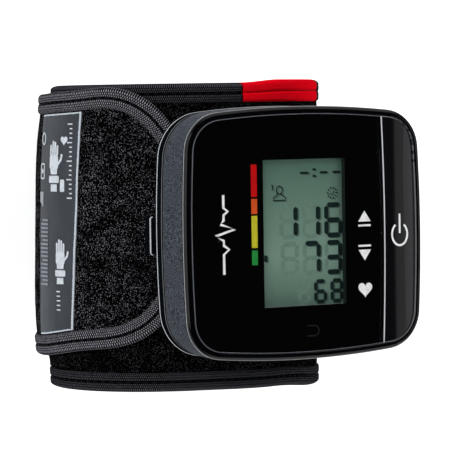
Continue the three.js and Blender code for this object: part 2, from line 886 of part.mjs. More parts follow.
// Cells along the wrist, nub towards +Y for direction 1 and towards -Y for -1
function cell(x, direction) {
  const nubStart = cellLength - cellNubLength;
  const profile = [
    [0, 0],
    [cellRadius - cellShoulder, 0],
    [cellRadius, cellShoulder],
    [cellRadius, nubStart - cellShoulder],
    [cellRadius - cellShoulder, nubStart],
    [cellNubRadius, nubStart],
    [cellNubRadius, cellLength],
    [0, cellLength],
  ].map(([r, y]) => new THREE.Vector2(r, y));
  const geometry = new THREE.LatheGeometry(profile, roundSides);
  const nubEnd = pocketHalfLength - contactPlate - fitGap;
  if (direction < 0) geometry.rotateX(Math.PI);
  geometry.translate(x, direction * (nubEnd - cellLength), -cellDepth);
  return solidOf(geometry);
}

// Coil contact that presses on the flat end of a cell
function coilContact(x, direction) {
  const start = pocketHalfLength - contactPlate - fitGap - coilWire;
  const end = cellLength - (pocketHalfLength - contactPlate - fitGap) + fitGap + coilWire;
  const points = [];
  for (let k = 0; k <= coilTurns * coilSteps; k += 1) {
    const turn = (2 * Math.PI * k) / coilSteps;
    const y = start + (end - start) * (k / (coilTurns * coilSteps));
    points.push(new THREE.Vector3(
      x + coilRadius * Math.cos(turn),
      direction * y,
      -cellDepth + coilRadius * Math.sin(turn),
    ));
  }
  const path = new THREE.CatmullRomCurve3(points);
  const circle = [];
  for (let k = 0; k < coilSides; k += 1) {
    const turn = (2 * Math.PI * k) / coilSides;
    circle.push(new THREE.Vector2(coilWire * Math.cos(turn), coilWire * Math.sin(turn)));
  }
  const geometry = new THREE.ExtrudeGeometry(new THREE.Shape(circle), {
    extrudePath: path,
    steps: coilTurns * coilSteps,
  });
  return solidOf(geometry);
}

function flatContact(x0, x1, direction) {
  const wall = direction * pocketHalfLength;
  const inner = direction * (pocketHalfLength - contactPlate);
  return block(
    x0 - contactHalfWidth,
    x1 + contactHalfWidth,
    Math.min(wall, inner),
    Math.max(wall, inner),
    -cellDepth - contactHalfHeight,
    -cellDepth + contactHalfHeight,
  );
}

// Cuff loop: places are lengths along the ellipse from its top, positive towards the left bend
const loopTable = [];
{
  let length = 0;
  let last = null;
  for (let k = 0; k <= arcSamples; k += 1) {
    const turn = (2 * Math.PI * k) / arcSamples + Math.PI / 2;
    const point = new THREE.Vector2(loopHalfWidth * Math.cos(turn), loopHalfHeight * Math.sin(turn));
    if (last) length += point.distanceTo(last);
    loopTable.push({ turn, length });
    last = point;
  }
}
const loopLength = loopTable[arcSamples].length;
const bodyStart = loopLength / 2 - bodyStartRise;
const bodyEnd = bodyEndRise - loopLength / 2;
const hingePlace = loopLength / 2 - hingeRise;

function loopPoint(place, offset) {
  const wanted = ((place % loopLength) + loopLength) % loopLength;
  let low = 0;
  let high = arcSamples;
  while (high - low > 1) {
    const middle = Math.floor((low + high) / 2);
    if (loopTable[middle].length <= wanted) low = middle;
    else high = middle;
  }
  const share = (wanted - loopTable[low].length) / (loopTable[high].length - loopTable[low].length);
  const turn = loopTable[low].turn + (loopTable[high].turn - loopTable[low].turn) * share;
  const out = new THREE.Vector2(Math.cos(turn) / loopHalfWidth, Math.sin(turn) / loopHalfHeight).normalize();
  return [
    loopX + loopHalfWidth * Math.cos(turn) + out.x * offset,
    loopZ + loopHalfHeight * Math.sin(turn) + out.y * offset,
  ];
}

function smooth(value) {
  const share = Math.min(Math.max(value, 0), 1);
  return share * share * (3 - 2 * share);
}

// A curved slab between two offsets: each station has a low and a high edge, each a place and a Y
function slab(stations, outer, inner) {
  const positions = [];
  stations.forEach(({ low, high }) => {
    [[low, inner], [high, inner], [high, outer], [low, outer]].forEach(([edge, offset]) => {
      const [x, z] = loopPoint(edge.place, offset(edge.place));
      positions.push(x, edge.y, z);
    });
  });
  const index = [];
  const last = 4 * (stations.length - 1);
  for (let k = 0; k < last; k += 4) {
    for (let side = 0; side < 4; side += 1) {
      const a = k + side;
      const b = k + ((side + 1) % 4);
      index.push(a, b + 4, b, a, a + 4, b + 4);
    }
  }
  index.push(0, 1, 2, 0, 2, 3);
  index.push(last, last + 2, last + 1, last, last + 3, last + 2);
  const geometry = new THREE.BufferGeometry();
  geometry.setAttribute('position', new THREE.Float32BufferAttribute(positions, 3));
  geometry.setIndex(index);
  const solid = solidOf(geometry);
  if (solid.volume() > 0) return solid;
  geometry.setIndex(index.slice().reverse());
  return solidOf(geometry);
}

function evenStations(from, to, lowEdge, highEdge) {
  const steps = Math.max(2, Math.round(Math.abs(to - from) / stepLength));
  const stations = [];
  for (let k = 0; k <= steps; k += 1) {
    const place = from + ((to - from) * k) / steps;
    stations.push({ low: { place, y: lowEdge(place) }, high: { place, y: highEdge(place) } });
  }
  return stations;
}

// How far the padded body lies inside the loop's outer line: it makes room for the flap over it
function bodyOffset(depth) {
  const from = tipPlace - tipBlunt;
  return (place) => bodyShift * smooth((place - from + shiftRun) / shiftRun) - depth;
}

function bodySheet(from, to, low, high, depth, thickness) {
  const stations = evenStations(from, to, () => low, () => high);
  return slab(stations, bodyOffset(depth), bodyOffset(depth + thickness));
}

const fieldLow = cuffLow + bindingWidth + fitGap;
const fieldHigh = cuffHigh - bindingWidth - fitGap;
const shellDepth = coverInset + coverThickness + fitGap;
const bladderDepth = shellDepth + shellThickness + fitGap;
const liningDepth = bladderDepth + bladderThickness + fitGap;

function nippleHole(solid) {
  return cut(solid, rod(nippleFlangeRadius + fitGap, nippleX, nippleY, -loopTop - plateDepth, -caseDepth));
}

function bodyBinding(low, high, from, to) {
  return bodySheet(from, to, low, high, 0, bodyThickness);
}

// Air nipple: flange on the bladder, spigot through shell, cover, plate and case floor
function airNipple() {
  const bladderTop = Math.max(...[-1, 0, 1].map((side) => {
    const place = loopX - nippleX + side * nippleFlangeRadius;
    return loopPoint(place, bodyOffset(bladderDepth)(place))[1];
  }));
  const under = bladderTop + fitGap;
  return cut(
    joined(
      rod(nippleFlangeRadius, nippleX, nippleY, under, under + nippleFlange),
      rod(nippleRadius, nippleX, nippleY, under, -nippleTop),
    ),
    rod(nippleBore, nippleX, nippleY, under - overrun, -nippleTop + overrun),
  );
}

// Saddle plate: flat against the case, hollowed underneath to the curve of the cuff
function saddlePlate() {
  const outline = roundedRectangle(plateLeft, plateRight, -plateHalfLength, plateHalfLength, plateCorner);
  const cuffBelow = bodySheet(
    shiftRun + plateDepth,
    -shiftRun - plateDepth,
    cuffLow,
    cuffHigh,
    coverInset - fitGap,
    2 * plateDepth,
  );
  const seats = screwPlaces.map(([x, y]) => joined(
    rod(screwRadius + screwPlay, x, y, -caseDepth - plateDepth, -caseDepth + overrun),
    rod(screwHeadRadius + screwPlay, x, y, -screwSeat - plateDepth, -screwSeat),
  ));
  return cut(
    prism(outline, -caseDepth - plateDepth, -caseDepth),
    cuffBelow,
    rod(nippleFlangeRadius + fitGap, nippleX, nippleY, -caseDepth - 2 * plateDepth, -caseDepth + overrun),
    ...seats,
  );
}

function screw([x, y]) {
  const profile = [
    [0, screwSocketDepth - screwHead],
    [screwSocketRadius, -screwHead],
    [screwHeadRadius, -screwHead],
    [screwHeadRadius, 0],
    [screwRadius, 0],
    [screwRadius, screwSeat - screwTip - screwRadius],
    [0, screwSeat - screwTip],
  ].map(([r, z]) => new THREE.Vector2(r, z));
  const geometry = new THREE.LatheGeometry(profile, smallSides);
  geometry.rotateX(Math.PI / 2);
  geometry.translate(x, y, -screwSeat);
  return solidOf(geometry);
}

// Flap: half width and centre of the tongue at a place on the loop
function flapHalf(place) {
  const half = flapHalfWidth + flapFlare * smooth((place - flarePlace) / flareRun);
  return half - (half - neckHalfWidth) * smooth((place - neckPlace) / neckRun);
}

function flapCentre(place) {
  return tipCentre - (tipCentre - flapRest) * smooth((place - settlePlace) / settleRun);
}

// Stations from the tip to the hinge, each with the edges of the tongue drawn in by an inset
function flapStations(inset, to = hingePlace - fitGap / 2) {
  const edges = (place, share) => {
    const half = (flapHalf(place) - inset) * share;
    return {
      low: { place, y: flapCentre(place) - half },
      high: { place, y: flapCentre(place) + half },
    };
  };
  const round = tipRound - inset;
  const stations = [];
  for (let k = 1; k <= tipSteps; k += 1) {
    const turn = (k / tipSteps) * (Math.PI / 2);
    const along = 1 - Math.cos(turn) ** (2 / tipPowerShare);
    stations.push(edges(tipPlace + inset + round * along, Math.sin(turn) ** (2 / tipPowerShare)));
  }
  const straight = tipPlace + tipRound;
  const steps = Math.round((to - straight) / stepLength);
  for (let k = 1; k <= steps; k += 1) {
    stations.push(edges(straight + ((to - straight) * k) / steps, 1));
  }
  return stations;
}

function level(depth) {
  return () => -depth;
}

function flapWeb() {
  const stations = flapStations(bindingWidth + fitGap);
  return slab(stations, level(webInset), level(webInset + webThickness));
}

// The binding runs up one edge of the tongue, round its tip and back down the other
function flapBinding() {
  const outside = flapStations(0);
  const inside = flapStations(bindingWidth);
  const up = outside.map((station, k) => ({ low: station.low, high: inside[k].low })).reverse();
  const down = outside.map((station, k) => ({ low: station.high, high: inside[k].high }));
  return slab([...up, ...down], level(0), level(flapThickness));
}

function flapLabel() {
  const edge = (side) => (place) => (
    flapCentre(place) + side * (flapHalf(place) - bindingWidth - labelMargin)
  );
  const stations = evenStations(labelStart, labelStart + labelLength, edge(-1), edge(1));
  return slab(stations, level(0), level(labelThickness));
}

function hookPatch() {
  const edge = (side) => (place) => flapCentre(place) + side * patchHalfWidth;
  const stations = evenStations(patchStart, patchStart + patchLength, edge(-1), edge(1));
  const depth = flapThickness - patchThickness;
  return slab(stations, level(depth), level(flapThickness));
}

// Strap: from the padded body at the right, under the loop, to the hinge line of the flap
const strapStart = bodyEnd - fitGap;
const strapEnd = hingePlace - loopLength + fitGap / 2;

function strapEdge(side, inset) {
  return (place) => {
    const flare = smooth((place - strapStart + strapFlareRun) / strapFlareRun);
    const half = neckHalfWidth + (cuffHalfWidth - neckHalfWidth) * flare;
    const centre = flapRest + (cuffCentre - flapRest) * flare;
    return centre + side * (half - inset);
  };
}

function strapPiece(low, high) {
  const stations = evenStations(strapStart, strapEnd, low, high);
  const floor = block(
    loopX - loopHalfWidth,
    loopX + loopHalfWidth,
    cuffLow - overrun,
    cuffHigh + overrun,
    standLevel - flapThickness,
    standLevel,
  );
  return cut(slab(stations, level(0), level(flapThickness)), floor);
}

// Assembly on the table: the middle of the box round the part is over the origin
const part = new THREE.Group();
const leftReach = loopX - loopHalfWidth;
const rightReach = Math.max(caseHalfWidth, loopX + loopHalfWidth);
part.position.set(-(leftReach + rightReach) / 2, -cuffCentre, -standLevel);

function place(name, solid, material) {
  const mesh = new THREE.Mesh(geometryOf(solid), material);
  mesh.name = name;
  part.add(mesh);
}

place('upper_housing', upperHousing(), finishes.housing);
place('rear_case', rearCase(), finishes.darkPlastic);
place('battery_door', batteryDoor(), finishes.darkPlastic);
place('display_lens', displayLens(), finishes.lens);
place('lens_mask', lensMask(), finishes.mask);
place('power_key', powerKey(), finishes.key);
place('switch_stem', switchStem(), finishes.whitePlastic);
place('power_switch', powerSwitch(), finishes.chip);
place('lcd_panel', displayPanel(), finishes.panel);
place('lcd_holder', panelHolder(), finishes.whitePlastic);
place('lcd_contact_strip', contactStrip(), finishes.tube);
place('main_board', mainBoard(), finishes.board);
place('control_chip', squareUnderBoard(chipSize, chipX, chipY, chipHeight), finishes.chip);
place('touch_pad', rod(touchPadRadius, touchPadX, touchPadY, boardTop, recessFloor), finishes.tube);
place('buzzer', buzzer(), finishes.chip);
place('pressure_sensor', pressureSensor(), finishes.chip);
place('air_manifold', airManifold(), finishes.whitePlastic);
place('pump_motor', pumpMotor(), finishes.steel);
place('pump_head', pumpHead(), finishes.whitePlastic);
place('release_valve', releaseValve(), finishes.steel);
place('nipple_tube', nippleTube(), finishes.tube);
place('pump_tube', pumpTube(), finishes.tube);
place('valve_tube', valveTube(), finishes.tube);
place('air_nipple', airNipple(), finishes.whitePlastic);

place('cell_left', cell(cellLeftPlace, 1), finishes.cell);
place('cell_right', cell(cellRightPlace, -1), finishes.cell);
place('coil_contact_left', coilContact(cellLeftPlace, -1), finishes.steel);
place('coil_contact_right', coilContact(cellRightPlace, 1), finishes.steel);
place('contact_link', flatContact(cellLeftPlace, cellRightPlace, 1), finishes.steel);
place('contact_minus', flatContact(cellLeftPlace, cellLeftPlace, -1), finishes.steel);
place('contact_plus', flatContact(cellRightPlace, cellRightPlace, -1), finishes.steel);

place('saddle_plate', saddlePlate(), finishes.darkPlastic);
screwPlaces.forEach((spot, k) => place(`case_screw_${k + 1}`, screw(spot), finishes.steel));

const markerEnd = markerStart - markerLength;
const bindingTopLow = cuffHigh - bindingWidth;
place('cuff_cover', nippleHole(bodySheet(bodyStart, bodyEnd, fieldLow, fieldHigh, coverInset, coverThickness)),
  finishes.fabric);
place('cuff_shell', nippleHole(bodySheet(bodyStart, bodyEnd, fieldLow, fieldHigh, shellDepth, shellThickness)),
  finishes.whitePlastic);
place('air_bladder', bodySheet(bladderHalfLength, -bladderHalfLength, fieldLow + bladderMargin,
  fieldHigh - bladderMargin, bladderDepth, bladderThickness), finishes.bladder);
place('cuff_lining', bodySheet(bodyStart, bodyEnd, fieldLow, fieldHigh, liningDepth, bodyThickness - liningDepth),
  finishes.lining);
place('binding_bottom', bodyBinding(cuffLow, cuffLow + bindingWidth, bodyStart, bodyEnd), finishes.binding);
place('binding_top_left', bodyBinding(bindingTopLow, cuffHigh, bodyStart, markerStart + fitGap), finishes.binding);
place('binding_marker', bodyBinding(bindingTopLow, cuffHigh, markerStart, markerEnd), finishes.marker);
place('binding_top_right', bodyBinding(bindingTopLow, cuffHigh, markerEnd - fitGap, bodyEnd), finishes.binding);

const strapLow = strapEdge(-1, 0);
const strapHigh = strapEdge(1, 0);
place('cuff_strap', strapPiece(strapEdge(-1, bindingWidth + fitGap), strapEdge(1, bindingWidth + fitGap)),
  finishes.fabric);
place('strap_binding_bottom', strapPiece(strapLow, strapEdge(-1, bindingWidth)), finishes.binding);
place('strap_binding_top', strapPiece(strapEdge(1, bindingWidth), strapHigh), finishes.binding);

place('cuff_flap', flapWeb(), finishes.fabric);
place('flap_binding', flapBinding(), finishes.binding);
place('flap_label', flapLabel(), finishes.label);
place('hook_patch', hookPatch(), finishes.hook);

export default part;
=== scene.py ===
import bisect
import json
import math

import bmesh
import bpy
from mathutils import Matrix, Vector, noise


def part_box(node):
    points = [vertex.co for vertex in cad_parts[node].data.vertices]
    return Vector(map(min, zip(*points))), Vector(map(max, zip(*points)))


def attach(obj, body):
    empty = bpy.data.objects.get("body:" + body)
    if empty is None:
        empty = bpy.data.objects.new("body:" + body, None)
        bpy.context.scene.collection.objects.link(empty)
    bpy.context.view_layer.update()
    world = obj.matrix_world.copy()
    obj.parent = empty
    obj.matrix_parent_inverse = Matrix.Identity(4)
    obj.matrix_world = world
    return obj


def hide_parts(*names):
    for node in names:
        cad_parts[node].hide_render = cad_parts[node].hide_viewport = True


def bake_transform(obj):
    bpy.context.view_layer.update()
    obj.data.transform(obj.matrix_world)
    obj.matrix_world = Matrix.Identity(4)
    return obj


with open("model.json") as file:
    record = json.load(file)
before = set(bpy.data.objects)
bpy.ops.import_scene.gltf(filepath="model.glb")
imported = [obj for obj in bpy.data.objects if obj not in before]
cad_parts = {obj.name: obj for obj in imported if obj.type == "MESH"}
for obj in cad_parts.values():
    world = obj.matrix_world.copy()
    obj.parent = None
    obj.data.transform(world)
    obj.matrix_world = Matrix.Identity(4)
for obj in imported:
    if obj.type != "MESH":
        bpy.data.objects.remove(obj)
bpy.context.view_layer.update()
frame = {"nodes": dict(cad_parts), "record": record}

# Sizes are in millimetres about the middle of the face, as in the part's source
MM = 0.001
FIT_GAP = 0.3
SLIDE_GAP = 0.2
OVERRUN = 2

# Case
CASE_HALF_WIDTH = 35
CASE_HALF_HEIGHT = 32
SIDE_BULGE = 0.6
END_BULGE = 1.2
CASE_CORNER = 10.1
SEAM_CORNER = 12.2
LEAST_CORNER = 2.6
CASE_WALL = 1.8
SIDE_STEPS = 16
CORNER_STEPS = 12
SEAM_DEPTH = 11.6
SHOULDER_RISE = 0.9
SHOULDER_WIDTH = 1.42
EDGE_SOFTENING = 0.35
SHOULDER_STEPS = 14
SEAM_EDGE = 0.42
SEAM_LINE = 1.3
SHOULDER_LINE = 0.45
LINE_DEPTH = 0.15
BRIGHT_REACH = 0.09
SHOULDER_POWER = 3.2
GROOVE_OUTER = 0.92
GROOVE_INNER = 1.06
GROOVE_DEPTH = 0.07
BEAD_RADIUS = 0.28
BEAD_INSET = 0.23
BEAD_LEVEL = -13.9
BEAD_SIDES = 16
BEAD_FACE = 0.6
BEAD_BRIGHT_SHARE = 0.8
LENS_INSET = 1.62
RECESS_DEPTH = 0.5
FRONT_PLATE = 1.5
CASE_DEPTH = 22.5
REAR_ROUND_X = 10
REAR_ROUND_Y = 5
ROUND_STEPS = 14
EDGE_BEVEL = 0.12

# Lens, mask, window and key
LENS_THICKNESS = 1.2
LENS_CHAMFER = 0.2
LENS_BEVEL = 0.05
MASK_THICKNESS = 0.2
MASK_MARGIN = 0.15
PRINT_GAP = 0.06
WINDOW_X = 0.35
WINDOW_Y = 0.05
WINDOW_HALF_WIDTH = 12.2
WINDOW_HALF_HEIGHT = 18.55
KEY_LEFT = 22.5
KEY_LEFT_BOW = 0.9
KEY_THICKNESS = 1.6
KEY_BEND = 0.22
KEY_BEND_RUN = 0.05
KEY_SLOPE = 0.85
KEY_BEVEL = 0.22
KEY_ROUND = 0.1

# Battery door
DOOR_RIGHT = -10.3
DOOR_HALF_LENGTH = 24.6
DOOR_TOP = 14.5
CATCH_HALF_HEIGHT = 4.9
CATCH_STAND_OUT = 1.3
CATCH_TOP = 14.8
CATCH_THICKNESS = 2.9
CATCH_CORNER = 0.8
CATCH_EDGE = 0.4
CATCH_BEVEL = 0.26

# Cuff
LOOP_HALF_WIDTH = 39.5
LOOP_HALF_HEIGHT = 33
LOOP_X = -4.75
LOOP_TOP = 24
LOOP_SAMPLES = 1440
STAND_FLAT = 0.5
CUFF_LOW = -41.6
CUFF_HIGH = 38.3
BINDING_WIDTH = 5.3
BODY_THICKNESS = 5
COVER_INSET = 0.4
COVER_THICKNESS = 1
LINING_DEPTH = 3.8
BODY_START_RISE = 36.2
BODY_END_RISE = 33.1
MARKER_START = -1
MARKER_LENGTH = 39
MARKER_PROUD = 0.75
MARKER_RISE = 14
MARKER_STEP = 1.2
RED_START = -2.2
RED_END = -34.7
FLAP_THICKNESS = 2.4
PILE_GAP = 0.8
TIP_PLACE = 13
TIP_BLUNT = 2
SHIFT_RUN = 22
TIP_ROUND = 26
TIP_POWER_SHARE = 2.4
TIP_STEPS = 28
FLAP_HALF_WIDTH = 33.8
FLAP_FLARE = 0.7
FLARE_RUN = 18
FLARE_PLACE = 42
NECK_HALF_WIDTH = 33
NECK_RUN = 16
NECK_PLACE = 70
TIP_CENTRE = 4
FLAP_REST = 1.6
SETTLE_RUN = 36
SETTLE_PLACE = 30
HINGE_RISE = 27.9
STRAP_FLARE_RUN = 35
WEB_INSET = 0.7
WEB_THICKNESS = 1
LABEL_START = 44.8
LABEL_START_LOW = 46.2
LABEL_START_HIGH = 43.1
LABEL_LENGTH = 15.4
LABEL_MARGIN = 0.4
LABEL_THICKNESS = 0.3
CLOTH_STEP = 1.6

housing_low, housing_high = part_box("upper_housing")
FACE = Vector((
    (housing_low.x + housing_high.x) / 2,
    (housing_low.y + housing_high.y) / 2,
    housing_high.z - SHOULDER_RISE * MM,
))


def at(point):
    """A place about the middle of the face, in millimetres, as a place in the frame, in metres."""
    return FACE + Vector(point) * MM


def smooth(value):
    share = min(max(value, 0), 1)
    return share * share * (3 - 2 * share)


def in_scene(name, data):
    obj = bpy.data.objects.new(name, data)
    bpy.context.scene.collection.objects.link(obj)
    return obj


# Camera, fitted to the photograph
CAMERA_YAW = -30
CAMERA_PITCH = 2.55
CAMERA_ROLL = 0.9
CAMERA_DISTANCE = 700
CAMERA_SHIFT_X = 20.1
CAMERA_SHIFT_Y = -1.95
PIXELS_PER_MM = 3.96
PHOTO_PIXELS = 450
SENSOR = 36


def add_camera():
    turn = (
        Matrix.Rotation(math.radians(CAMERA_ROLL), 3, "Z")
        @ Matrix.Rotation(math.radians(CAMERA_PITCH), 3, "X")
        @ Matrix.Rotation(math.radians(-CAMERA_YAW), 3, "Y")
    )
    back = turn.transposed()
    place = back @ Vector((-CAMERA_SHIFT_X, -CAMERA_SHIFT_Y, CAMERA_DISTANCE))
    data = bpy.data.cameras.new("camera")
    data.sensor_width = SENSOR
    data.lens = SENSOR * PIXELS_PER_MM * CAMERA_DISTANCE / PHOTO_PIXELS
    camera = in_scene("camera", data)
    camera.matrix_world = Matrix.Translation(at(place)) @ back.to_4x4()
    bpy.context.scene.camera = camera


# Materials
WEAVE = "weave"
DOT_PITCH = 0.6
DOT_ROW = 0.62
# The LCD panel's colours are painted light and shade: lightest a third of the way up, darker towards its
# bottom and its top.
PANEL_SHADED_LOW = (0.1, 0.175, 0.135)
PANEL_LIT_MIDDLE = (0.18, 0.29, 0.228)
PANEL_SHADED_TOP = (0.09, 0.172, 0.13)
LENS_REFLECTION = 0.03
LENS_GRAZING = 0.4
LENS_ROUGHNESS = 0.03
FRESNEL_POWER = 5


def feed(tree, node, *ordered, **named):
    """Sets a node's inputs, or links them where the value is another node's output."""
    sockets = list(zip(node.inputs, ordered))
    sockets += [(node.inputs[name.replace("_", " ")], value) for name, value in named.items()]
    for socket, value in sockets:
        if isinstance(value, bpy.types.NodeSocket):
            tree.links.new(value, socket)
        else:
            socket.default_value = value
    return node.outputs


def add_node(tree, kind, *ordered, **named):
    return feed(tree, tree.nodes.new(kind), *ordered, **named)


def add_ramp(tree, pattern, *stops):
    """Colours by a pattern: each stop is a value of it and the colour there."""
    node = tree.nodes.new("ShaderNodeValToRGB")
    elements = node.color_ramp.elements
    while len(elements) < len(stops):
        elements.new(1)
    for element, (share, colour) in zip(elements, stops):
        element.position = share
        element.color = (*colour, 1)
    return feed(tree, node, Fac=pattern)["Color"]


class Look:
    """A procedural material: a Principled shader with patterns in the piece's own coordinates."""

    def __init__(self, name, colour, roughness, metallic=0):
        self.material = bpy.data.materials.new(name)
        self.material.use_nodes = True
        self.tree = self.material.node_tree
        self.shader = self.tree.nodes["Principled BSDF"]
        self.set(Base_Color=(*colour, 1), Roughness=roughness, Metallic=metallic)
        self.place = self.add("ShaderNodeTexCoord")["Object"]
        self.height = None

    def add(self, kind, *ordered, **named):
        return add_node(self.tree, kind, *ordered, **named)

    def set(self, **values):
        feed(self.tree, self.shader, **values)
        return self

    def grain(self, size, detail=2, stretch=(1, 1, 1)):
        """Noise whose grains are about size millimetres across."""
        place = self.add("ShaderNodeMapping", Vector=self.place, Scale=stretch)["Vector"]
        return self.add("ShaderNodeTexNoise", Vector=place, Scale=1 / (size * MM), Detail=detail)["Fac"]

    def math(self, operation, first, second=0.0):
        node = self.tree.nodes.new("ShaderNodeMath")
        node.operation = operation
        return feed(self.tree, node, first, second)["Value"]

    def reach(self, pattern, low, high, start=0, end=1):
        """The pattern's values from start to end, spread from low to high."""
        ends = {"From_Min": start, "From_Max": end, "To_Min": low, "To_Max": high}
        return self.add("ShaderNodeMapRange", Value=pattern, **ends)["Result"]

    def weave(self):
        """The place on the cloth that store_weave has kept with each point, as its three parts."""
        stored = self.tree.nodes.new("ShaderNodeAttribute")
        stored.attribute_name = WEAVE
        parts = self.add("ShaderNodeSeparateXYZ", Vector=stored.outputs["Vector"])
        return parts["X"], parts["Y"], parts["Z"]

    def dots(self, along, across):
        """Staggered rows of round dots, from 0 between them to 1 at their middles."""
        ways = ((along, DOT_PITCH), (across, 2 * DOT_ROW))
        waves = [self.math("SINE", self.math("MULTIPLY", way, 2 * math.pi / step)) for way, step in ways]
        return self.reach(self.math("MULTIPLY", *waves), 0, 1, -1, 1)

    def cells(self, size):
        """Round tufts of about size millimetres: 1 at their middles, and a level drawn for each."""
        tufts = self.add("ShaderNodeTexVoronoi", Vector=self.place, Scale=1 / (size * MM))
        levels = self.add("ShaderNodeSeparateColor", Color=tufts["Color"])
        return self.reach(tufts["Distance"], 1, 0, 0, 0.6), levels["Red"]

    def bands(self, size, turn, distortion):
        """Even ridges, size millimetres apart."""
        place = self.add("ShaderNodeMapping", Vector=self.place, Rotation=turn)["Vector"]
        scale = math.pi / (10 * size * MM)
        return self.add("ShaderNodeTexWave", Vector=place, Scale=scale, Distortion=distortion)["Fac"]

    def colours(self, pattern, *stops):
        self.set(Base_Color=add_ramp(self.tree, pattern, *stops))

    def shine(self, pattern, low, high):
        self.set(Roughness=self.reach(pattern, low, high))

    def relief(self, pattern, depth, strength=1.0):
        """Adds a bump of about depth millimetres over the bumps made before it."""
        under = {"Normal": self.height} if self.height else {}
        bump = self.add("ShaderNodeBump", Height=pattern, Strength=strength, Distance=depth * MM, **under)
        self.height = bump["Normal"]
        self.set(Normal=self.height)


def textured_plastic(name, dark, light, roughness, level):
    look = Look(name, light, roughness).set(Specular_IOR_Level=level)
    spots = look.grain(0.27, 2)
    look.colours(spots, (0.42, dark), (0.59, light))
    look.relief(spots, 0.05, 0.7)
    look.shine(look.grain(3), roughness - 0.06, roughness + 0.06)
    return look.material


def gloss_plastic(name, colour, roughness, level=0.5):
    look = Look(name, colour, roughness).set(Specular_IOR_Level=level)
    look.shine(look.grain(9, 4), roughness, roughness * 1.6)
    return look.material


def moulded_plastic(name, dark, light, roughness=0.5):
    look = Look(name, light, roughness)
    look.colours(look.grain(5, 3), (0.3, dark), (0.7, light))
    look.relief(look.grain(0.5), 0.01, 0.5)
    return look.material


def metal(name, dark, light, roughness):
    look = Look(name, light, roughness, 1)
    look.colours(look.grain(2, 4), (0.3, dark), (0.7, light))
    look.shine(look.grain(0.6, 2, (1, 0.1, 1)), roughness * 0.7, roughness * 1.4)
    return look.material


def pile_fabric(name, dark, middle, light, tuft=0.32):
    """Brushed loops: each tuft catches the light at its middle, and some far more than others."""
    look = Look(name, middle, 1).set(Specular_IOR_Level=0)
    tops, levels = look.cells(tuft)
    bright = look.math("MULTIPLY", tops, look.math("POWER", levels, 1.3))
    # Random patches make the painted tuft highlights stronger or weaker.
    random_patches = look.math("MULTIPLY", bright, look.reach(look.grain(5, 3), 0.5, 1.4, 0.3, 0.7))
    look.colours(random_patches, (0.03, dark), (0.16, middle), (0.5, light))
    look.relief(tops, 0.3, 0.8)
    look.relief(look.grain(0.3, 2), 0.1, 0.7)
    return look.material


def tape_fabric(name, dark, light, low, high):
    """Woven tape: rows of small raised dots, the weave's own, whose pale colour is a painted highlight, and a
    dark line of painted shade down its seam.
    """
    look = Look(name, light, 0.9).set(Specular_IOR_Level=0)
    along, across, share = look.weave()
    dots = look.dots(along, across)
    # Painted shade: the colour goes dark along the middle of the seam.
    seam = look.math("ABSOLUTE", look.math("SUBTRACT", share, 0.5))
    clear = look.reach(seam, 0, 1, 0.01, 0.05)
    # Random lighter blotches, added to the painted highlight of the dots.
    blotches = look.math("MULTIPLY", look.grain(0.6, 3), 0.3)
    uneven = look.math("ADD", look.math("MULTIPLY", dots, 0.8), blotches)
    look.colours(look.math("MULTIPLY", uneven, clear), (low, dark), (high, light))
    look.relief(dots, 0.12, 0.8)
    look.relief(look.grain(0.25), 0.05, 0.6)
    return look.material


def satin_fabric(name, dark, light, edge):
    """Printed satin with pale, slightly frayed cut edges."""
    look = Look(name, light, 0.45).set(Specular_IOR_Level=0.25)
    start, low, high = look.weave()
    random_patches = look.math("MULTIPLY", look.grain(0.35, 2), 0.5)
    near = look.math("MINIMUM", start, look.math("ADD", look.math("MINIMUM", low, high), 0.2))
    edges = look.math("SUBTRACT", near, random_patches)
    cloth = look.math("MULTIPLY", look.grain(6, 5, (1, 0.3, 1)), 0.5)
    pattern = look.math("MAXIMUM", cloth, look.reach(edges, 1, 0, 0.25, 0.5))
    look.colours(pattern, (0.15, dark), (0.4, light), (0.55, light), (0.95, edge))
    look.relief(look.bands(0.25, (0, 0, math.radians(90)), 0.3), 0.02, 0.6)
    look.relief(look.grain(4, 4), 0.25, 0.5)
    return look.material


def knit_fabric(name, dark, light):
    look = Look(name, light, 0.9).set(Specular_IOR_Level=0.2)
    look.colours(look.grain(0.8, 3), (0.35, dark), (0.65, light))
    look.relief(look.cells(0.5)[0], 0.08, 0.7)
    look.relief(look.grain(5, 3), 0.3, 0.4)
    return look.material


def printed_ink(name, colour):
    look = Look(name, colour, 0.45).set(Specular_IOR_Level=0.05)
    faded = tuple(0.8 * part for part in colour)
    look.colours(look.grain(1.2, 3), (0.3, faded), (0.6, colour))
    return look.material


def panel_glass():
    look = Look("panel_glass", PANEL_LIT_MIDDLE, 0.35).set(Specular_IOR_Level=0.3)
    low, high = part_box("lcd_panel")
    height = look.add("ShaderNodeSeparateXYZ", Vector=look.place)["Y"]
    rise = look.reach(height, 0, 1, low.y, high.y)
    # Painted light and shade: the panel is lightest a third of the way up and darker towards its bottom and
    # its top.
    look.colours(rise, (0.1, PANEL_SHADED_LOW), (0.35, PANEL_LIT_MIDDLE), (0.9, PANEL_SHADED_TOP))
    look.relief(look.grain(2), 0.005, 0.3)
    return look.material


def clear_lens():
    """A thin clear sheet: it shows what is behind it and reflects by the angle of sight."""
    look = Look("clear_lens", (1, 1, 1), LENS_ROUGHNESS)
    facing = look.add("ShaderNodeLayerWeight", Blend=0.5)["Facing"]
    mixed = look.add(
        "ShaderNodeMixShader",
        look.reach(look.math("POWER", facing, FRESNEL_POWER), LENS_REFLECTION, LENS_GRAZING),
        look.add("ShaderNodeBsdfTransparent")["BSDF"],
        look.add("ShaderNodeBsdfGlossy", Roughness=LENS_ROUGHNESS)["BSDF"],
    )
    feed(look.tree, look.tree.nodes["Material Output"], Surface=mixed["Shader"])
    return look.material


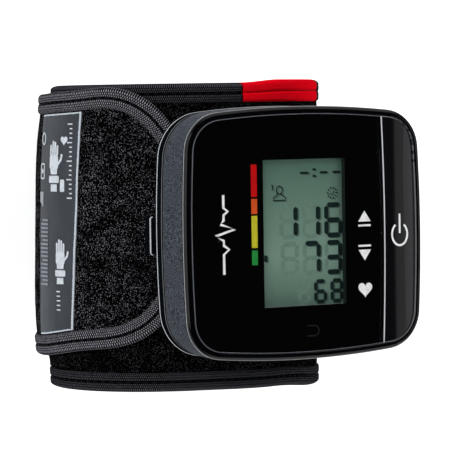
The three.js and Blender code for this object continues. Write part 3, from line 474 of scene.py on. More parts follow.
looks = {
    "housing": textured_plastic("wall_plastic", (0.0006, 0.001, 0.002), (0.094, 0.107, 0.132), 0.6, 0.04),
    "gloss": gloss_plastic("shoulder_plastic", (0.001, 0.001, 0.0015), 0.06, 0.2),
    "rear_plastic": textured_plastic(
        "rear_plastic", (0.0006, 0.001, 0.0014), (0.005, 0.007, 0.009), 0.35, 0.0),
    # Pale colours for narrow bands along edges, the seam and the key's sides: painted highlights on the dark
    # plastic.
    "edge": gloss_plastic("highlight_edge_plastic", (0.48, 0.5, 0.53), 0.12, 0.8),
    "seam_edge": gloss_plastic("seam_highlight_plastic", (0.1, 0.11, 0.125), 0.2, 0.3),
    "key_edge": gloss_plastic("key_highlight_plastic", (0.26, 0.26, 0.27), 0.15, 0.5),
    "lens": clear_lens(),
    "mask": gloss_plastic("mask_film", (0.0003, 0.0003, 0.0003), 0.5, 0.0),
    "key": gloss_plastic("key_plastic", (0.002, 0.002, 0.003), 0.1),
    "panel": panel_glass(),
    "white_plastic": moulded_plastic("white_plastic", (0.6, 0.6, 0.56), (0.7, 0.7, 0.66)),
    "silicone": moulded_plastic("silicone", (0.5, 0.5, 0.47), (0.6, 0.6, 0.57), 0.6),
    "board": moulded_plastic("board_mask", (0.012, 0.08, 0.035), (0.02, 0.12, 0.05), 0.4),
    "chip": moulded_plastic("chip_plastic", (0.006, 0.006, 0.008), (0.014, 0.014, 0.016)),
    "steel": metal("plated_steel", (0.45, 0.46, 0.48), (0.6, 0.61, 0.63), 0.3),
    "cell": metal("cell_sleeve", (0.05, 0.08, 0.13), (0.08, 0.12, 0.19), 0.35),
    "pile_fabric": pile_fabric(
        "pile_fabric", (0.0005, 0.0005, 0.0006), (0.023, 0.022, 0.0245), (0.25, 0.245, 0.27)),
    # A shaded copy of the pile fabric for the cuff's cover: painted shade.
    "dark_pile": pile_fabric(
        "shaded_pile_fabric", (0.0003, 0.0003, 0.0003), (0.006, 0.006, 0.006), (0.06, 0.06, 0.066)),
    "hook": pile_fabric(
        "hook_tape", (0.0005, 0.0005, 0.0005), (0.006, 0.006, 0.007), (0.06, 0.06, 0.066), 1.0),
    "binding": tape_fabric("binding_tape", (0.0006, 0.0006, 0.0008), (0.5, 0.5, 0.56), 0.56, 1.05),
    # A shaded copy of the binding tape for the cuff's body: painted shade.
    "dark_binding": tape_fabric(
        "shaded_binding_tape", (0.0003, 0.0003, 0.0005), (0.15, 0.15, 0.17), 0.57, 1.05),
    "marker": tape_fabric("marker_tape", (0.5, 0.0006, 0.002), (0.95, 0.003, 0.014), 0.2, 0.6),
    "label": satin_fabric("label_satin", (0.017, 0.021, 0.028), (0.04, 0.05, 0.064), (0.55, 0.6, 0.66)),
    "lining": knit_fabric("lining_knit", (0.006, 0.006, 0.008), (0.022, 0.022, 0.026)),
    "bladder": moulded_plastic("bladder_film", (0.07, 0.07, 0.08), (0.1, 0.1, 0.11)),
    # A near-black look for the cuff's inner layers: painted shade where they show between the cuff's layers.
    "shaded_inner_layer": moulded_plastic("shaded_inner_layer", (0.004, 0.004, 0.005), (0.01, 0.01, 0.011)),
}
INKS = {
    "thread": (0.012, 0.012, 0.014),
    "red_thread": (0.2, 0.002, 0.004),
    "digit_ink": (0.006, 0.017, 0.015),
    "ghost_ink": (0.15, 0.245, 0.192),
    # Painted shadows of the LCD's dark shapes on the panel behind them.
    "painted_digit_shadow": (0.07, 0.12, 0.092),
    # A dark greenish colour for the window's side walls: painted shade, the panel's colour where the wall
    # shades it.
    "painted_window_shade": (0.014, 0.023, 0.02),
    "white_ink": (0.95, 0.95, 0.95),
    "grey_ink": (0.012, 0.012, 0.012),
    "red_ink": (0.58, 0.004, 0.005),
    "orange_ink": (0.68, 0.09, 0.016),
    "yellow_ink": (0.6, 0.56, 0.03),
    "green_ink": (0.02, 0.26, 0.05),
    "label_ink": (0.7, 0.75, 0.8),
    "dim_ink": (0.27, 0.3, 0.34),
}
for ink_name, ink_colour in INKS.items():
    looks[ink_name] = printed_ink(ink_name, ink_colour)


# Meshes
FLAT_AREA = 60
CREASE = 32
BEVEL_ANGLE = 60
# How far a face's normal leans, as the size of its part along the axis that is looked at
FLAT = 0.9
UPRIGHT = 0.3
SIDEWAYS = 0.2
BENT_FROM = 0.1
BENT_TO = 0.98
KEY_BENT_TO = 0.97


def new_object(name, points, faces, *materials, crease=CREASE):
    mesh = bpy.data.meshes.new(name)
    mesh.from_pydata([at(p) for p in points], [], faces)
    work = bmesh.new()
    work.from_mesh(mesh)
    bmesh.ops.recalc_face_normals(work, faces=work.faces)
    work.to_mesh(mesh)
    work.free()
    for material in materials:
        mesh.materials.append(looks[material])
    obj = in_scene(name, mesh)
    soften(obj, crease)
    return obj


def soften(obj, crease=CREASE):
    """Smooth shading, but for large flat faces and edges that bend more than crease degrees."""
    obj.data.polygons.foreach_set("use_smooth", [True] * len(obj.data.polygons))
    obj.data.set_sharp_from_angle(angle=math.radians(crease))
    for face in obj.data.polygons:
        if face.area > FLAT_AREA * MM * MM:
            face.use_smooth = False


def settle(obj, body, slot, *nodes):
    """Puts a piece on its body and hides the CAD nodes that it stands for; slot, its finish, is not used."""
    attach(obj, body)
    if nodes:
        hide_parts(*nodes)


def paint(obj, choose, *names):
    """Gives a piece these looks in this order, and each face the one that choose names for it."""
    obj.data.materials.clear()
    for name in names:
        obj.data.materials.append(looks[name])
    for face in obj.data.polygons:
        face.material_index = names.index(choose(face))


def ring_faces(rings, count, first=0, closed=False):
    """Faces along rings of count points each, from point first on, with end caps unless closed."""
    faces = []
    for r in range(rings if closed else rings - 1):
        a = first + r * count
        b = first + (r + 1) % rings * count
        for k in range(count):
            n = (k + 1) % count
            faces.append((a + k, a + n, b + n, b + k))
    if not closed:
        last = first + (rings - 1) * count
        faces += [tuple(range(start, start + count)) for start in (first, last)]
    return faces


def loft(name, rings, *materials, closed=False):
    points = [p for ring in rings for p in ring]
    return new_object(name, points, ring_faces(len(rings), len(rings[0]), closed=closed), *materials)


def prism(name, outline, z0, z1, *materials):
    return loft(name, [[(x, y, z) for x, y in outline] for z in (z0, z1)], *materials)


def rectangle(x0, x1, y0, y1):
    return [(x0, y0), (x1, y0), (x1, y1), (x0, y1)]


def block(x0, x1, y0, y1, z0, z1):
    return prism("block", rectangle(x0, x1, y0, y1), z0, z1)


def full_turn(steps):
    return [2 * math.pi * k / steps for k in range(steps)]


def quarter_turn(steps):
    return [math.pi / 2 * k / steps for k in range(steps + 1)]


def circle(x, y, radius_x, radius_y, sides):
    return [(x + radius_x * math.cos(t), y + radius_y * math.sin(t)) for t in full_turn(sides)]


def rounded_rectangle(x0, x1, y0, y1, radius, steps=8):
    points = []
    corners = [
        (x1 - radius, y0 + radius, -90), (x1 - radius, y1 - radius, 0),
        (x0 + radius, y1 - radius, 90), (x0 + radius, y0 + radius, 180),
    ]
    for x, y, start in corners:
        for k in range(steps + 1):
            turn = math.radians(start + 90 * k / steps)
            points.append((x + radius * math.cos(turn), y + radius * math.sin(turn)))
    return points


def apply_modifiers(obj):
    bpy.context.view_layer.update()
    shaped = obj.evaluated_get(bpy.context.evaluated_depsgraph_get())
    mesh = bpy.data.meshes.new_from_object(shaped)
    obj.modifiers.clear()
    obj.data = mesh


def combine(obj, operation, *tools):
    for tool in tools:
        step = obj.modifiers.new("step", "BOOLEAN")
        step.operation = operation
        step.solver = "EXACT"
        step.object = tool
    apply_modifiers(obj)
    for tool in tools:
        bpy.data.objects.remove(tool)
    return obj


def cut(obj, *tools):
    return combine(obj, "DIFFERENCE", *tools)


def join(obj, *tools):
    return combine(obj, "UNION", *tools)


def common(obj, *tools):
    return combine(obj, "INTERSECT", *tools)


def round_edges(obj, width, segments=2, angle=40):
    step = obj.modifiers.new("round", "BEVEL")
    step.width = width * MM
    step.segments = segments
    step.limit_method = "ANGLE"
    step.angle_limit = math.radians(angle)
    apply_modifiers(obj)
    soften(obj)
    return obj


# Case outline: four bowed sides joined by round corners
def case_outline(inset_x, inset_y=None, turn=CASE_CORNER):
    inset_y = inset_x if inset_y is None else inset_y
    corner = max(turn - (inset_x + inset_y) / 2, LEAST_CORNER)
    post_x = CASE_HALF_WIDTH - inset_x - corner - SIDE_BULGE
    post_y = CASE_HALF_HEIGHT - inset_y - corner - END_BULGE
    posts = [Vector(p) for p in ((post_x, -post_y), (post_x, post_y), (-post_x, post_y), (-post_x, -post_y))]
    sides = []
    for side, bulge in enumerate([SIDE_BULGE, END_BULGE] * 2):
        along = posts[(side + 1) % 4] - posts[side]
        out = Vector((along.y, -along.x)).normalized()
        sides.append((posts[side], along, out, math.atan2(4 * bulge, along.length), bulge))
    points = []
    for side, (start, along, out, lean, bulge) in enumerate(sides):
        angle = math.atan2(out.y, out.x)
        for k in range(SIDE_STEPS + 1):
            share = k / SIDE_STEPS
            slope = angle - lean * (1 - 2 * share)
            base = start + along * share + out * 4 * bulge * share * (1 - share)
            points.append(base + corner * Vector((math.cos(slope), math.sin(slope))))
        first = angle + lean
        last = angle + math.pi / 2 - sides[(side + 1) % 4][3]
        for k in range(1, CORNER_STEPS):
            turn = first + (last - first) * k / CORNER_STEPS
            points.append(start + along + corner * Vector((math.cos(turn), math.sin(turn))))
    return [tuple(p) for p in points]


def case_ring(inset_x, z, inset_y=None, turn=CASE_CORNER):
    return [(x, y, z) for x, y in case_outline(inset_x, inset_y, turn)]


def case_prism(inset, z0, z1):
    return prism("tool", case_outline(inset), z0, z1)


def key_side_outline(offset):
    reach = CASE_HALF_HEIGHT + OVERRUN
    outline = []
    for k in range(2 * SIDE_STEPS + 1):
        share = k / SIDE_STEPS - 1
        outline.append((KEY_LEFT + offset + KEY_LEFT_BOW * (1 - share * share), -share * reach))
    right = CASE_HALF_WIDTH + OVERRUN
    return outline + [(right, -reach), (right, reach)]


def key_side(offset):
    return prism("tool", key_side_outline(offset), -CASE_DEPTH, SHOULDER_RISE + OVERRUN)


def key_bevel_side(offset, bevel):
    """What lies right of the key's left side and of the bevel along the top of it."""
    low = SHOULDER_RISE - KEY_THICKNESS - OVERRUN / 2
    rings = []
    for z, out in ((low, 0), (SHOULDER_RISE - bevel, 0), (SHOULDER_RISE + bevel, 2 * bevel)):
        rings.append([(x, y, z) for x, y in key_side_outline(offset + out)])
    return loft("tool", rings)


LENS_BOTTOM = SHOULDER_RISE - LENS_THICKNESS
RECESS_FLOOR = LENS_BOTTOM - MASK_THICKNESS
PLATE_UNDER = -RECESS_DEPTH - FRONT_PLATE
CASE_FLOOR = -CASE_DEPTH + CASE_WALL


def window_cut(z0, z1):
    left, right = WINDOW_X - WINDOW_HALF_WIDTH, WINDOW_X + WINDOW_HALF_WIDTH
    return block(left, right, WINDOW_Y - WINDOW_HALF_HEIGHT, WINDOW_Y + WINDOW_HALF_HEIGHT, z0, z1)


def add_housing():
    """The glossy shoulder is the top of the textured side wall, with thin grooves at its lines."""
    rings = [case_ring(0, -SEAM_DEPTH + FIT_GAP / 2, turn=SEAM_CORNER)]
    for inset, rise in ((0, SEAM_EDGE), (LINE_DEPTH, SEAM_EDGE), (LINE_DEPTH, SEAM_LINE), (0, SEAM_LINE)):
        rings.append(case_ring(inset, -SEAM_DEPTH + rise, turn=SEAM_CORNER))
    for inset, fall in ((0, SHOULDER_LINE), (LINE_DEPTH, SHOULDER_LINE), (LINE_DEPTH, 0), (0, 0)):
        rings.append(case_ring(inset, -EDGE_SOFTENING - fall))
    rings.append(case_ring(0, -EDGE_SOFTENING + 2 * BRIGHT_REACH))
    for turn in quarter_turn(SHOULDER_STEPS)[1:]:
        inset = SHOULDER_WIDTH * (1 - abs(math.cos(turn)) ** (2 / SHOULDER_POWER))
        rise = (SHOULDER_RISE + EDGE_SOFTENING) * math.sin(turn) ** (2 / SHOULDER_POWER)
        rings.append(case_ring(inset, -EDGE_SOFTENING + rise))
    housing = loft("housing_shell", rings, "housing")
    above = SHOULDER_RISE + OVERRUN
    groove_floor = SHOULDER_RISE - GROOVE_DEPTH
    cut(
        housing,
        cut(
            case_prism(GROOVE_OUTER, groove_floor, above),
            case_prism(GROOVE_INNER, groove_floor - OVERRUN, above + OVERRUN),
        ),
        case_prism(CASE_WALL, -SEAM_DEPTH - OVERRUN, PLATE_UNDER),
        case_prism(LENS_INSET, RECESS_FLOOR, above),
        common(case_prism(LENS_INSET, -SEAM_DEPTH - OVERRUN, above), key_side(0)),
        window_cut(PLATE_UNDER - OVERRUN, RECESS_FLOOR + OVERRUN),
    )
    shine_from = at((0, 0, -EDGE_SOFTENING - SHOULDER_LINE)).z
    bright_at = at((0, 0, -EDGE_SOFTENING + BRIGHT_REACH)).z
    window = at((WINDOW_X, WINDOW_Y, 0))

    def choose(face):
        steep = abs(face.normal.z)
        over_window = abs(face.center.x - window.x) < (WINDOW_HALF_WIDTH + FIT_GAP) * MM
        in_opening = RECESS_FLOOR * MM > face.center.z - FACE.z > PLATE_UNDER * MM
        # The window's left and right walls take the dark greenish colour: painted shade.
        if over_window and in_opening and abs(face.normal.x) > steep:
            return "painted_window_shade"
        above_seam = (face.center.z - FACE.z) / MM + SEAM_DEPTH
        # The lowest band of the wall takes a pale seam colour: a painted highlight along the seam.
        if above_seam < SEAM_LINE:
            return "gloss" if above_seam > SEAM_EDGE else "seam_edge"
        spot = face.center - FACE
        inwards = spot.x * face.normal.x + spot.y * face.normal.y < 0
        # The walls of the key's opening take a pale colour: a painted highlight.
        if inwards and steep < UPRIGHT and spot.z > PLATE_UNDER * MM:
            return "key_edge"
        # A narrow band low on the shoulder takes the pale edge colour: a painted highlight.
        if abs(face.center.z - bright_at) < BRIGHT_REACH * MM and steep < FLAT:
            return "edge"
        return "gloss" if face.center.z > shine_from else "housing"

    paint(housing, choose, "housing", "gloss", "painted_window_shade", "edge", "seam_edge", "key_edge")
    soften(housing)
    settle(housing, "monitor", "housing", "upper_housing")


def bowl(name, inset, floor, top, *materials):
    corner = CASE_CORNER if inset else SEAM_CORNER
    rings = []
    for turn in reversed(quarter_turn(ROUND_STEPS)):
        share = 1 - math.cos(turn)
        z = -SEAM_DEPTH + (floor + SEAM_DEPTH) * math.sin(turn)
        rings.append(case_ring(inset + REAR_ROUND_X * share, z, inset + REAR_ROUND_Y * share, corner))
    rings.append(case_ring(inset, top, turn=corner))
    return loft(name, rings, *materials)


def door_opening(gap):
    """The room of the battery door, gap wider and higher than the door itself."""
    half = DOOR_HALF_LENGTH + gap
    left = -CASE_HALF_WIDTH - OVERRUN
    return block(left, DOOR_RIGHT + gap, -half, half, -CASE_DEPTH - OVERRUN, -DOOR_TOP + gap)


def add_door():
    door = cut(
        bowl("door_shell", 0, -CASE_DEPTH, -SEAM_DEPTH + OVERRUN, "rear_plastic"),
        bowl("tool", CASE_WALL, CASE_FLOOR, -SEAM_DEPTH + 2 * OVERRUN),
    )
    common(door, door_opening(0))
    catch_left = -CASE_HALF_WIDTH - CATCH_STAND_OUT
    thumb = prism("tool", rounded_rectangle(
        catch_left, -CASE_HALF_WIDTH + CASE_WALL, -CATCH_HALF_HEIGHT, CATCH_HALF_HEIGHT, CATCH_CORNER,
    ), -CATCH_TOP - CATCH_THICKNESS, -CATCH_TOP)
    round_edges(thumb, CATCH_BEVEL, 3, BEVEL_ANGLE)
    join(door, cut(thumb, bowl("tool", CASE_WALL / 2, CASE_FLOOR, -SEAM_DEPTH + OVERRUN)))
    round_edges(door, EDGE_BEVEL)
    tip = at((catch_left, 0, -CATCH_TOP))

    # The catch's rounded edges take the pale edge colour: a painted highlight.
    def choose(face):
        bent = BENT_FROM < abs(face.normal.z) < BENT_TO
        on_catch = face.center.x < tip.x + CATCH_STAND_OUT * MM and face.center.z > tip.z - CATCH_EDGE * MM
        return "edge" if bent and on_catch else "rear_plastic"

    paint(door, choose, "rear_plastic", "edge")
    settle(door, "battery_door", "rear_plastic", "battery_door")


def add_rear():
    """The rear case, with a bead that runs round it below the seam."""
    rim = -SEAM_DEPTH - FIT_GAP / 2
    rear = common(
        bowl("rear_shell", 0, -CASE_DEPTH, rim + OVERRUN, "rear_plastic"),
        case_prism(-OVERRUN, -CASE_DEPTH - OVERRUN, rim),
    )
    bead = []
    for turn in full_turn(BEAD_SIDES):
        inset = BEAD_INSET - BEAD_RADIUS * math.cos(turn)
        bead.append(case_ring(inset, BEAD_LEVEL + BEAD_RADIUS * math.sin(turn), turn=SEAM_CORNER))
    join(rear, loft("tool", bead, closed=True))
    cut(rear, bowl("tool", CASE_WALL, CASE_FLOOR, rim + OVERRUN), door_opening(FIT_GAP))
    soften(rear)

    # The bead's small faces take the pale edge colour: a painted highlight along the rim.
    def choose(face):
        level = (face.center.z - FACE.z) / MM - BEAD_LEVEL
        on_bead = abs(level) < BEAD_BRIGHT_SHARE * BEAD_RADIUS
        return "edge" if on_bead and face.area < BEAD_FACE * MM * MM else "rear_plastic"

    paint(rear, choose, "rear_plastic", "edge")
    settle(rear, "monitor", "rear_plastic", "rear_case")


def face_slab(name, inset, z0, z1, *materials):
    rings = [case_ring(inset, z0), case_ring(inset, z1 - LENS_CHAMFER), case_ring(inset + LENS_CHAMFER, z1)]
    return loft(name, rings, *materials)


def add_lens():
    inset = LENS_INSET + SLIDE_GAP
    lens = face_slab("lens_sheet", inset, LENS_BOTTOM + PRINT_GAP, SHOULDER_RISE, "lens")
    cut(lens, key_side(-FIT_GAP / 2))
    round_edges(lens, LENS_BEVEL)

    # The lens's sides, except those facing right, take a pale colour: a painted highlight.
    def choose(face):
        return "seam_edge" if abs(face.normal.z) < FLAT and face.normal.x < SIDEWAYS else "lens"

    paint(lens, choose, "lens", "seam_edge")
    settle(lens, "monitor", "lens", "display_lens")
    mask = prism("mask_sheet", case_outline(inset + MASK_MARGIN), RECESS_FLOOR, LENS_BOTTOM, "mask")
    cut(mask, key_side(-FIT_GAP / 2 - MASK_MARGIN), window_cut(RECESS_FLOOR - OVERRUN, LENS_BOTTOM + OVERRUN))
    soften(mask)
    settle(mask, "monitor", "mask", "lens_mask")


def key_top(x):
    past = max((x - KEY_LEFT - KEY_LEFT_BOW) / (CASE_HALF_WIDTH - KEY_LEFT) - KEY_BEND, 0)
    return SHOULDER_RISE - KEY_SLOPE * past * past / (past + KEY_BEND_RUN)


def add_key():
    key = face_slab("key_cap", LENS_INSET + SLIDE_GAP, SHOULDER_RISE - KEY_THICKNESS, SHOULDER_RISE, "key")
    low = SHOULDER_RISE - KEY_THICKNESS - OVERRUN
    profile = [(KEY_LEFT - OVERRUN, low), (CASE_HALF_WIDTH + OVERRUN, low)]
    for k in range(2 * ROUND_STEPS, -1, -1):
        x = KEY_LEFT + KEY_LEFT_BOW + (CASE_HALF_WIDTH + OVERRUN - KEY_LEFT) * k / (2 * ROUND_STEPS)
        profile.append((x, key_top(x)))
    profile.append((KEY_LEFT - OVERRUN, SHOULDER_RISE))
    reach = CASE_HALF_HEIGHT + OVERRUN
    crown = loft("tool", [[(x, y, z) for x, z in profile] for y in (-reach, reach)])
    common(key, crown, key_bevel_side(FIT_GAP / 2, KEY_BEVEL))
    round_edges(key, KEY_ROUND, 2, BEVEL_ANGLE)

    # The key's rounded top edges take pale colours as painted highlights: the edge colour on the left, a
    # dimmer one on the right.
    def choose(face):
        if not (BENT_FROM < face.normal.z < KEY_BENT_TO and face.center.z > FACE.z):
            return "key"
        return "edge" if face.normal.x < -SIDEWAYS else "key_edge"

    paint(key, choose, "key", "edge", "key_edge")
    settle(key, "power_key", "key", "power_key")


# Prints
def stroke(line, width, closed=False):
    """A drawn line as quads, one for each of its steps."""
    lefts, rights = [], []
    count = len(line)
    for k, point in enumerate(line):
        before = Vector(line[k - 1] if k or closed else point)
        after = Vector(line[(k + 1) % count] if k < count - 1 or closed else point)
        along = (after - before).normalized()
        side = Vector((-along.y, along.x)) * width / 2
        lefts.append(tuple(Vector(point) + side))
        rights.append(tuple(Vector(point) - side))
    steps = range(count if closed else count - 1)
    return [[lefts[k], rights[k], rights[(k + 1) % count], lefts[(k + 1) % count]] for k in steps]


PRINT_STAGGER = 0.002
PRINT_TURNS = 5


def printed(name, outlines, surface, material, body, slot, lift=0.0, thickness=0.02):
    """Thin shapes laid on a surface, which turns (u, v, lift) into a place; overlaps differ in thickness."""
    points, faces = [], []
    for k, outline in enumerate(outlines):
        faces += ring_faces(2, len(outline), len(points))
        for height in (lift, lift + thickness + PRINT_STAGGER * (k % PRINT_TURNS)):
            points += [surface(u, v, height) for u, v in outline]
    settle(new_object(name, points, faces, material), body, slot)


def on_mask(u, v, lift):
    return u, v, LENS_BOTTOM + lift


def on_panel(u, v, lift):
    return u, v, PLATE_UNDER + lift


def on_key(u, v, lift):
    return u, v, key_top(u) + lift


# Display: seven segments, numbered from the top one clockwise, with the middle one last
SEGMENTS = {"0": "012345", "1": "12", "3": "01236", "6": "023456", "7": "012", "8": "0123456"}
DIGIT_ROWS = [
    ("116", 12.58, 6.68, 5.45, 7.35, -1.6, 1.25),
    (" 73", 12.45, 6.5, 5.4, -2.25, -11.0, 1.25),
    (" 68", 12.6, 4.9, 3.9, -12.1, -18.35, 1.05),
]
SEGMENT_GAP = 0.12
SEGMENT_SLANT = 0.8
DASHES = ((-0.15, 2.8), (5.75, 8.5), (9.6, 12.35))
SHOULDERS_SIGN = [
    (-6.7, 10.2), (-6.8, 9.6), (-7.9, 9.0), (-8.0, 8.3), (-4.3, 8.3), (-4.4, 9.0), (-5.4, 9.6), (-5.5, 10.2),
]
SHADE_X = 0.45
SHADE_Y = -0.25


def segment(x0, x1, y0, y1, number, thick):
    middle = (y0 + y1) / 2
    gap = thick * SEGMENT_GAP
    half = thick / 2
    slant = half * SEGMENT_SLANT
    across = {0: y1 - half, 3: y0 + half, 6: middle}
    if number in across:
        y = across[number]
        left, right = x0 + half + gap, x1 - half - gap
        return [(left, y), (left + slant, y + half), (right - slant, y + half),
                (right, y), (right - slant, y - half), (left + slant, y - half)]
    x = x1 - half if number in (1, 2) else x0 + half
    top, bottom = (y1 - half - gap, middle + gap) if number in (1, 5) else (middle - gap, y0 + half + gap)
    return [(x, top), (x + half, top - slant), (x + half, bottom + slant),
            (x, bottom), (x - half, bottom + slant), (x - half, top - slant)]


def add_display():
    lit, unlit = [], []
    for digits, right, pitch, width, top, bottom, thick in DIGIT_ROWS:
        for k, digit in enumerate(digits):
            x1 = right - pitch * (len(digits) - 1 - k)
            for number in range(7):
                shape = segment(x1 - width, x1, bottom, top, number, thick)
                (lit if str(number) in SEGMENTS.get(digit, "") else unlit).append(shape)
    for x0, x1 in DASHES:
        lit.append([(x0, 15.05), (x0 + 0.5, 15.35), (x1 - 0.5, 15.35), (x1, 15.05),
                    (x1 - 0.5, 14.75), (x0 + 0.5, 14.75)])
    for y in (15.85, 14.2):
        lit.append(circle(4.3, y, 0.55, 0.32, 12))
    lit.append(rectangle(-10.75, -9.95, -5.45, -7.05))
    lit += stroke(circle(-6.1, 10.9, 0.85, 1.0, 16), 0.28, closed=True)
    lit += stroke(SHOULDERS_SIGN, 0.28)
    lit += stroke([(-8.5, 12.0), (-8.1, 12.3), (-8.1, 10.9)], 0.25)
    for turn in full_turn(10):
        lit.append(circle(9.6 + 1.35 * math.cos(turn), 9.75 + 1.35 * math.sin(turn), 0.24, 0.24, 8))
    lit += stroke([(9.0, 9.6), (9.5, 9.2), (10.2, 10.2)], 0.25)
    # Painted shadows: copies of the dark shapes, offset down and to the right, in a darker panel colour.
    shades = [[(x + SHADE_X, y + SHADE_Y) for x, y in outline] for outline in lit]
    printed("lcd_digits", lit, on_panel, "digit_ink", "monitor", "panel", lift=0.04)
    printed("lcd_painted_shadows", shades, on_panel, "painted_digit_shadow", "monitor", "panel", lift=0.02, thickness=0.01)
    printed("lcd_ghosts", unlit, on_panel, "ghost_ink", "monitor", "panel", lift=0.005, thickness=0.01)


# Prints on the mask: a coloured scale, plain symbols and a pulse trace
BAR_LEFT = -15.35
BAR_RIGHT = -13.65
BAR_STEPS = [
    ("red_ink", 17.6, 9.5), ("orange_ink", 9.0, 5.2), ("yellow_ink", 4.75, -3.3), ("green_ink", -3.9, -7.6),
]
SYMBOL_X = 18.2
SYMBOL_ROWS = (3.1, -5.9, -15.1)
ARROW_HALF = 1.9
ARROW_BASE = 0.9
PULSE_X = -23.4
PULSE_LINE = [(0, -9.6), (0, -4.6), (1.5, -3.4), (0, -2.4), (0, -1.2), (-2.4, 0), (3.2, 1.6), (-0.9, 2.9),
              (0, 3.8), (0, 5.2), (1.2, 6.1), (0, 7.0), (0, 10.2)]
TOUCH_X = 2.3
TOUCH_Y = -24.95


def heart(x, y, size):
    points = []
    for turn in full_turn(36):
        across = 16 * math.sin(turn) ** 3
        up = 13 * math.cos(turn) - 5 * math.cos(2 * turn) - 2 * math.cos(3 * turn) - math.cos(4 * turn)
        points.append((x + size * across / 32, y + size * up / 32))
    return points


def add_prints():
    for ink, top, bottom in BAR_STEPS:
        outline = rectangle(BAR_LEFT, BAR_RIGHT, bottom, top)
        printed(f"scale_{ink}", [outline], on_mask, ink, "monitor", "mask")
    up, down, pulse = SYMBOL_ROWS
    left, right = SYMBOL_X - ARROW_HALF, SYMBOL_X + ARROW_HALF
    shapes = []
    for y, way in ((up, 1), (down, -1)):
        base = y - way * ARROW_BASE
        bar = y - way * ARROW_HALF
        shapes.append([(left, base), (right, base), (SYMBOL_X, y + way * ARROW_HALF)])
        shapes += stroke([(left, bar), (right, bar)], 0.5)
    shapes.append(heart(SYMBOL_X, pulse, 4.2))
    shapes += stroke([(PULSE_X + x, y) for x, y in PULSE_LINE], 0.7)
    printed("face_symbols", shapes, on_mask, "white_ink", "monitor", "mask")
    turns = [k * math.pi / 10 for k in range(11)]
    arc = [(TOUCH_X - 1.7, TOUCH_Y + 1.3)]
    arc += [(TOUCH_X + 0.5 + 1.3 * math.sin(t), TOUCH_Y + 1.3 * math.cos(t)) for t in turns]
    arc.append((TOUCH_X - 1.7, TOUCH_Y - 1.3))
    printed("touch_mark", stroke(arc, 0.35), on_mask, "grey_ink", "monitor", "mask")


POWER_X = 28.25
POWER_Y = -1.36
POWER_RADIUS_X = 2.42
POWER_RADIUS_Y = 2.87
POWER_STROKE = 0.55
POWER_OPENING = 34
POWER_STEM_TOP = 3.9
POWER_STEM_LOW = -1.1
POWER_STEPS = 48


def add_power_symbol():
    arc = []
    for k in range(POWER_STEPS + 1):
        turn = math.radians(90 + POWER_OPENING + (360 - 2 * POWER_OPENING) * k / POWER_STEPS)
        arc.append((POWER_X + POWER_RADIUS_X * math.cos(turn), POWER_Y + POWER_RADIUS_Y * math.sin(turn)))
    shapes = stroke(arc, POWER_STROKE)
    shapes += stroke([(POWER_X, POWER_STEM_TOP), (POWER_X, POWER_STEM_LOW)], POWER_STROKE)
    printed("power_symbol", shapes, on_key, "white_ink", "power_key", "key")


# Cuff loop: places are lengths along the ellipse from its top, positive towards the left bend
LOOP_Z = -LOOP_TOP - LOOP_HALF_HEIGHT
STAND_LEVEL = LOOP_Z - LOOP_HALF_HEIGHT + STAND_FLAT
loop_turns = [math.pi / 2 + 2 * math.pi * k / LOOP_SAMPLES for k in range(LOOP_SAMPLES + 1)]
loop_line = [Vector((LOOP_HALF_WIDTH * math.cos(t), LOOP_HALF_HEIGHT * math.sin(t))) for t in loop_turns]
loop_lengths = [0.0]
for start, end in zip(loop_line, loop_line[1:]):
    loop_lengths.append(loop_lengths[-1] + (end - start).length)
LOOP_LENGTH = loop_lengths[-1]
BODY_START = LOOP_LENGTH / 2 - BODY_START_RISE
BODY_END = BODY_END_RISE - LOOP_LENGTH / 2
BODY_SEWN_END = BODY_END - FIT_GAP
HINGE_PLACE = LOOP_LENGTH / 2 - HINGE_RISE
STRAP_PLACE = BODY_SEWN_END + LOOP_LENGTH
BODY_SHIFT = -(FLAP_THICKNESS + PILE_GAP)
CUFF_CENTRE = (CUFF_LOW + CUFF_HIGH) / 2
CUFF_HALF_WIDTH = (CUFF_HIGH - CUFF_LOW) / 2


# The cuff bellies out at its left bend and draws in at its edges there, and its lower edge spreads to
# the right. BARREL holds an offset for each Y.
BARREL = [(-44, 0), (-38, 0.1), (-34, 0.4), (-28, 1.0), (-18, 1.15), (-8, 0.9), (0, 0.7), (14, 0.35),
          (22, 0), (28, -0.7), (34, -1.3), (44, -1.5)]
BARREL_BLUR = (-4, -2, 0, 2, 4)
LEAN = 0.5
SPREAD = 1.5
# Stretches of the loop: where each starts and its rise, and where it ends and its fall
BARREL_STRETCH = (28, 30, 86, 24)
LEAN_STRETCH = (20, 20, 86, 24)
SPREAD_STRETCH = (12, 24, 54, 24)
SPREAD_Y = -18
SPREAD_RISE = 18


def within(place, start, rise, end, fall):
    """1 over a stretch of the loop, and 0 before and after it."""
    here = place % LOOP_LENGTH
    return smooth((here - start) / rise) * (1 - smooth((here - end) / fall))


def barrel(place, y):
    weight = within(place, *BARREL_STRETCH)
    if not weight:
        return 0
    total = 0
    for step in BARREL_BLUR:
        for (y0, low), (y1, high) in zip(BARREL, BARREL[1:]):
            if y0 <= y + step < y1:
                total += low + (high - low) * (y + step - y0) / (y1 - y0)
    return weight * total / len(BARREL_BLUR)


def lean(place, y):
    """At the right bend the upper edge stands further out than the lower one."""
    return LEAN * within(-place, *LEAN_STRETCH) * y / CUFF_HIGH


def spread_edge(place, y):
    return y - SPREAD * within(-place, *SPREAD_STRETCH) * smooth((SPREAD_Y - y) / SPREAD_RISE)


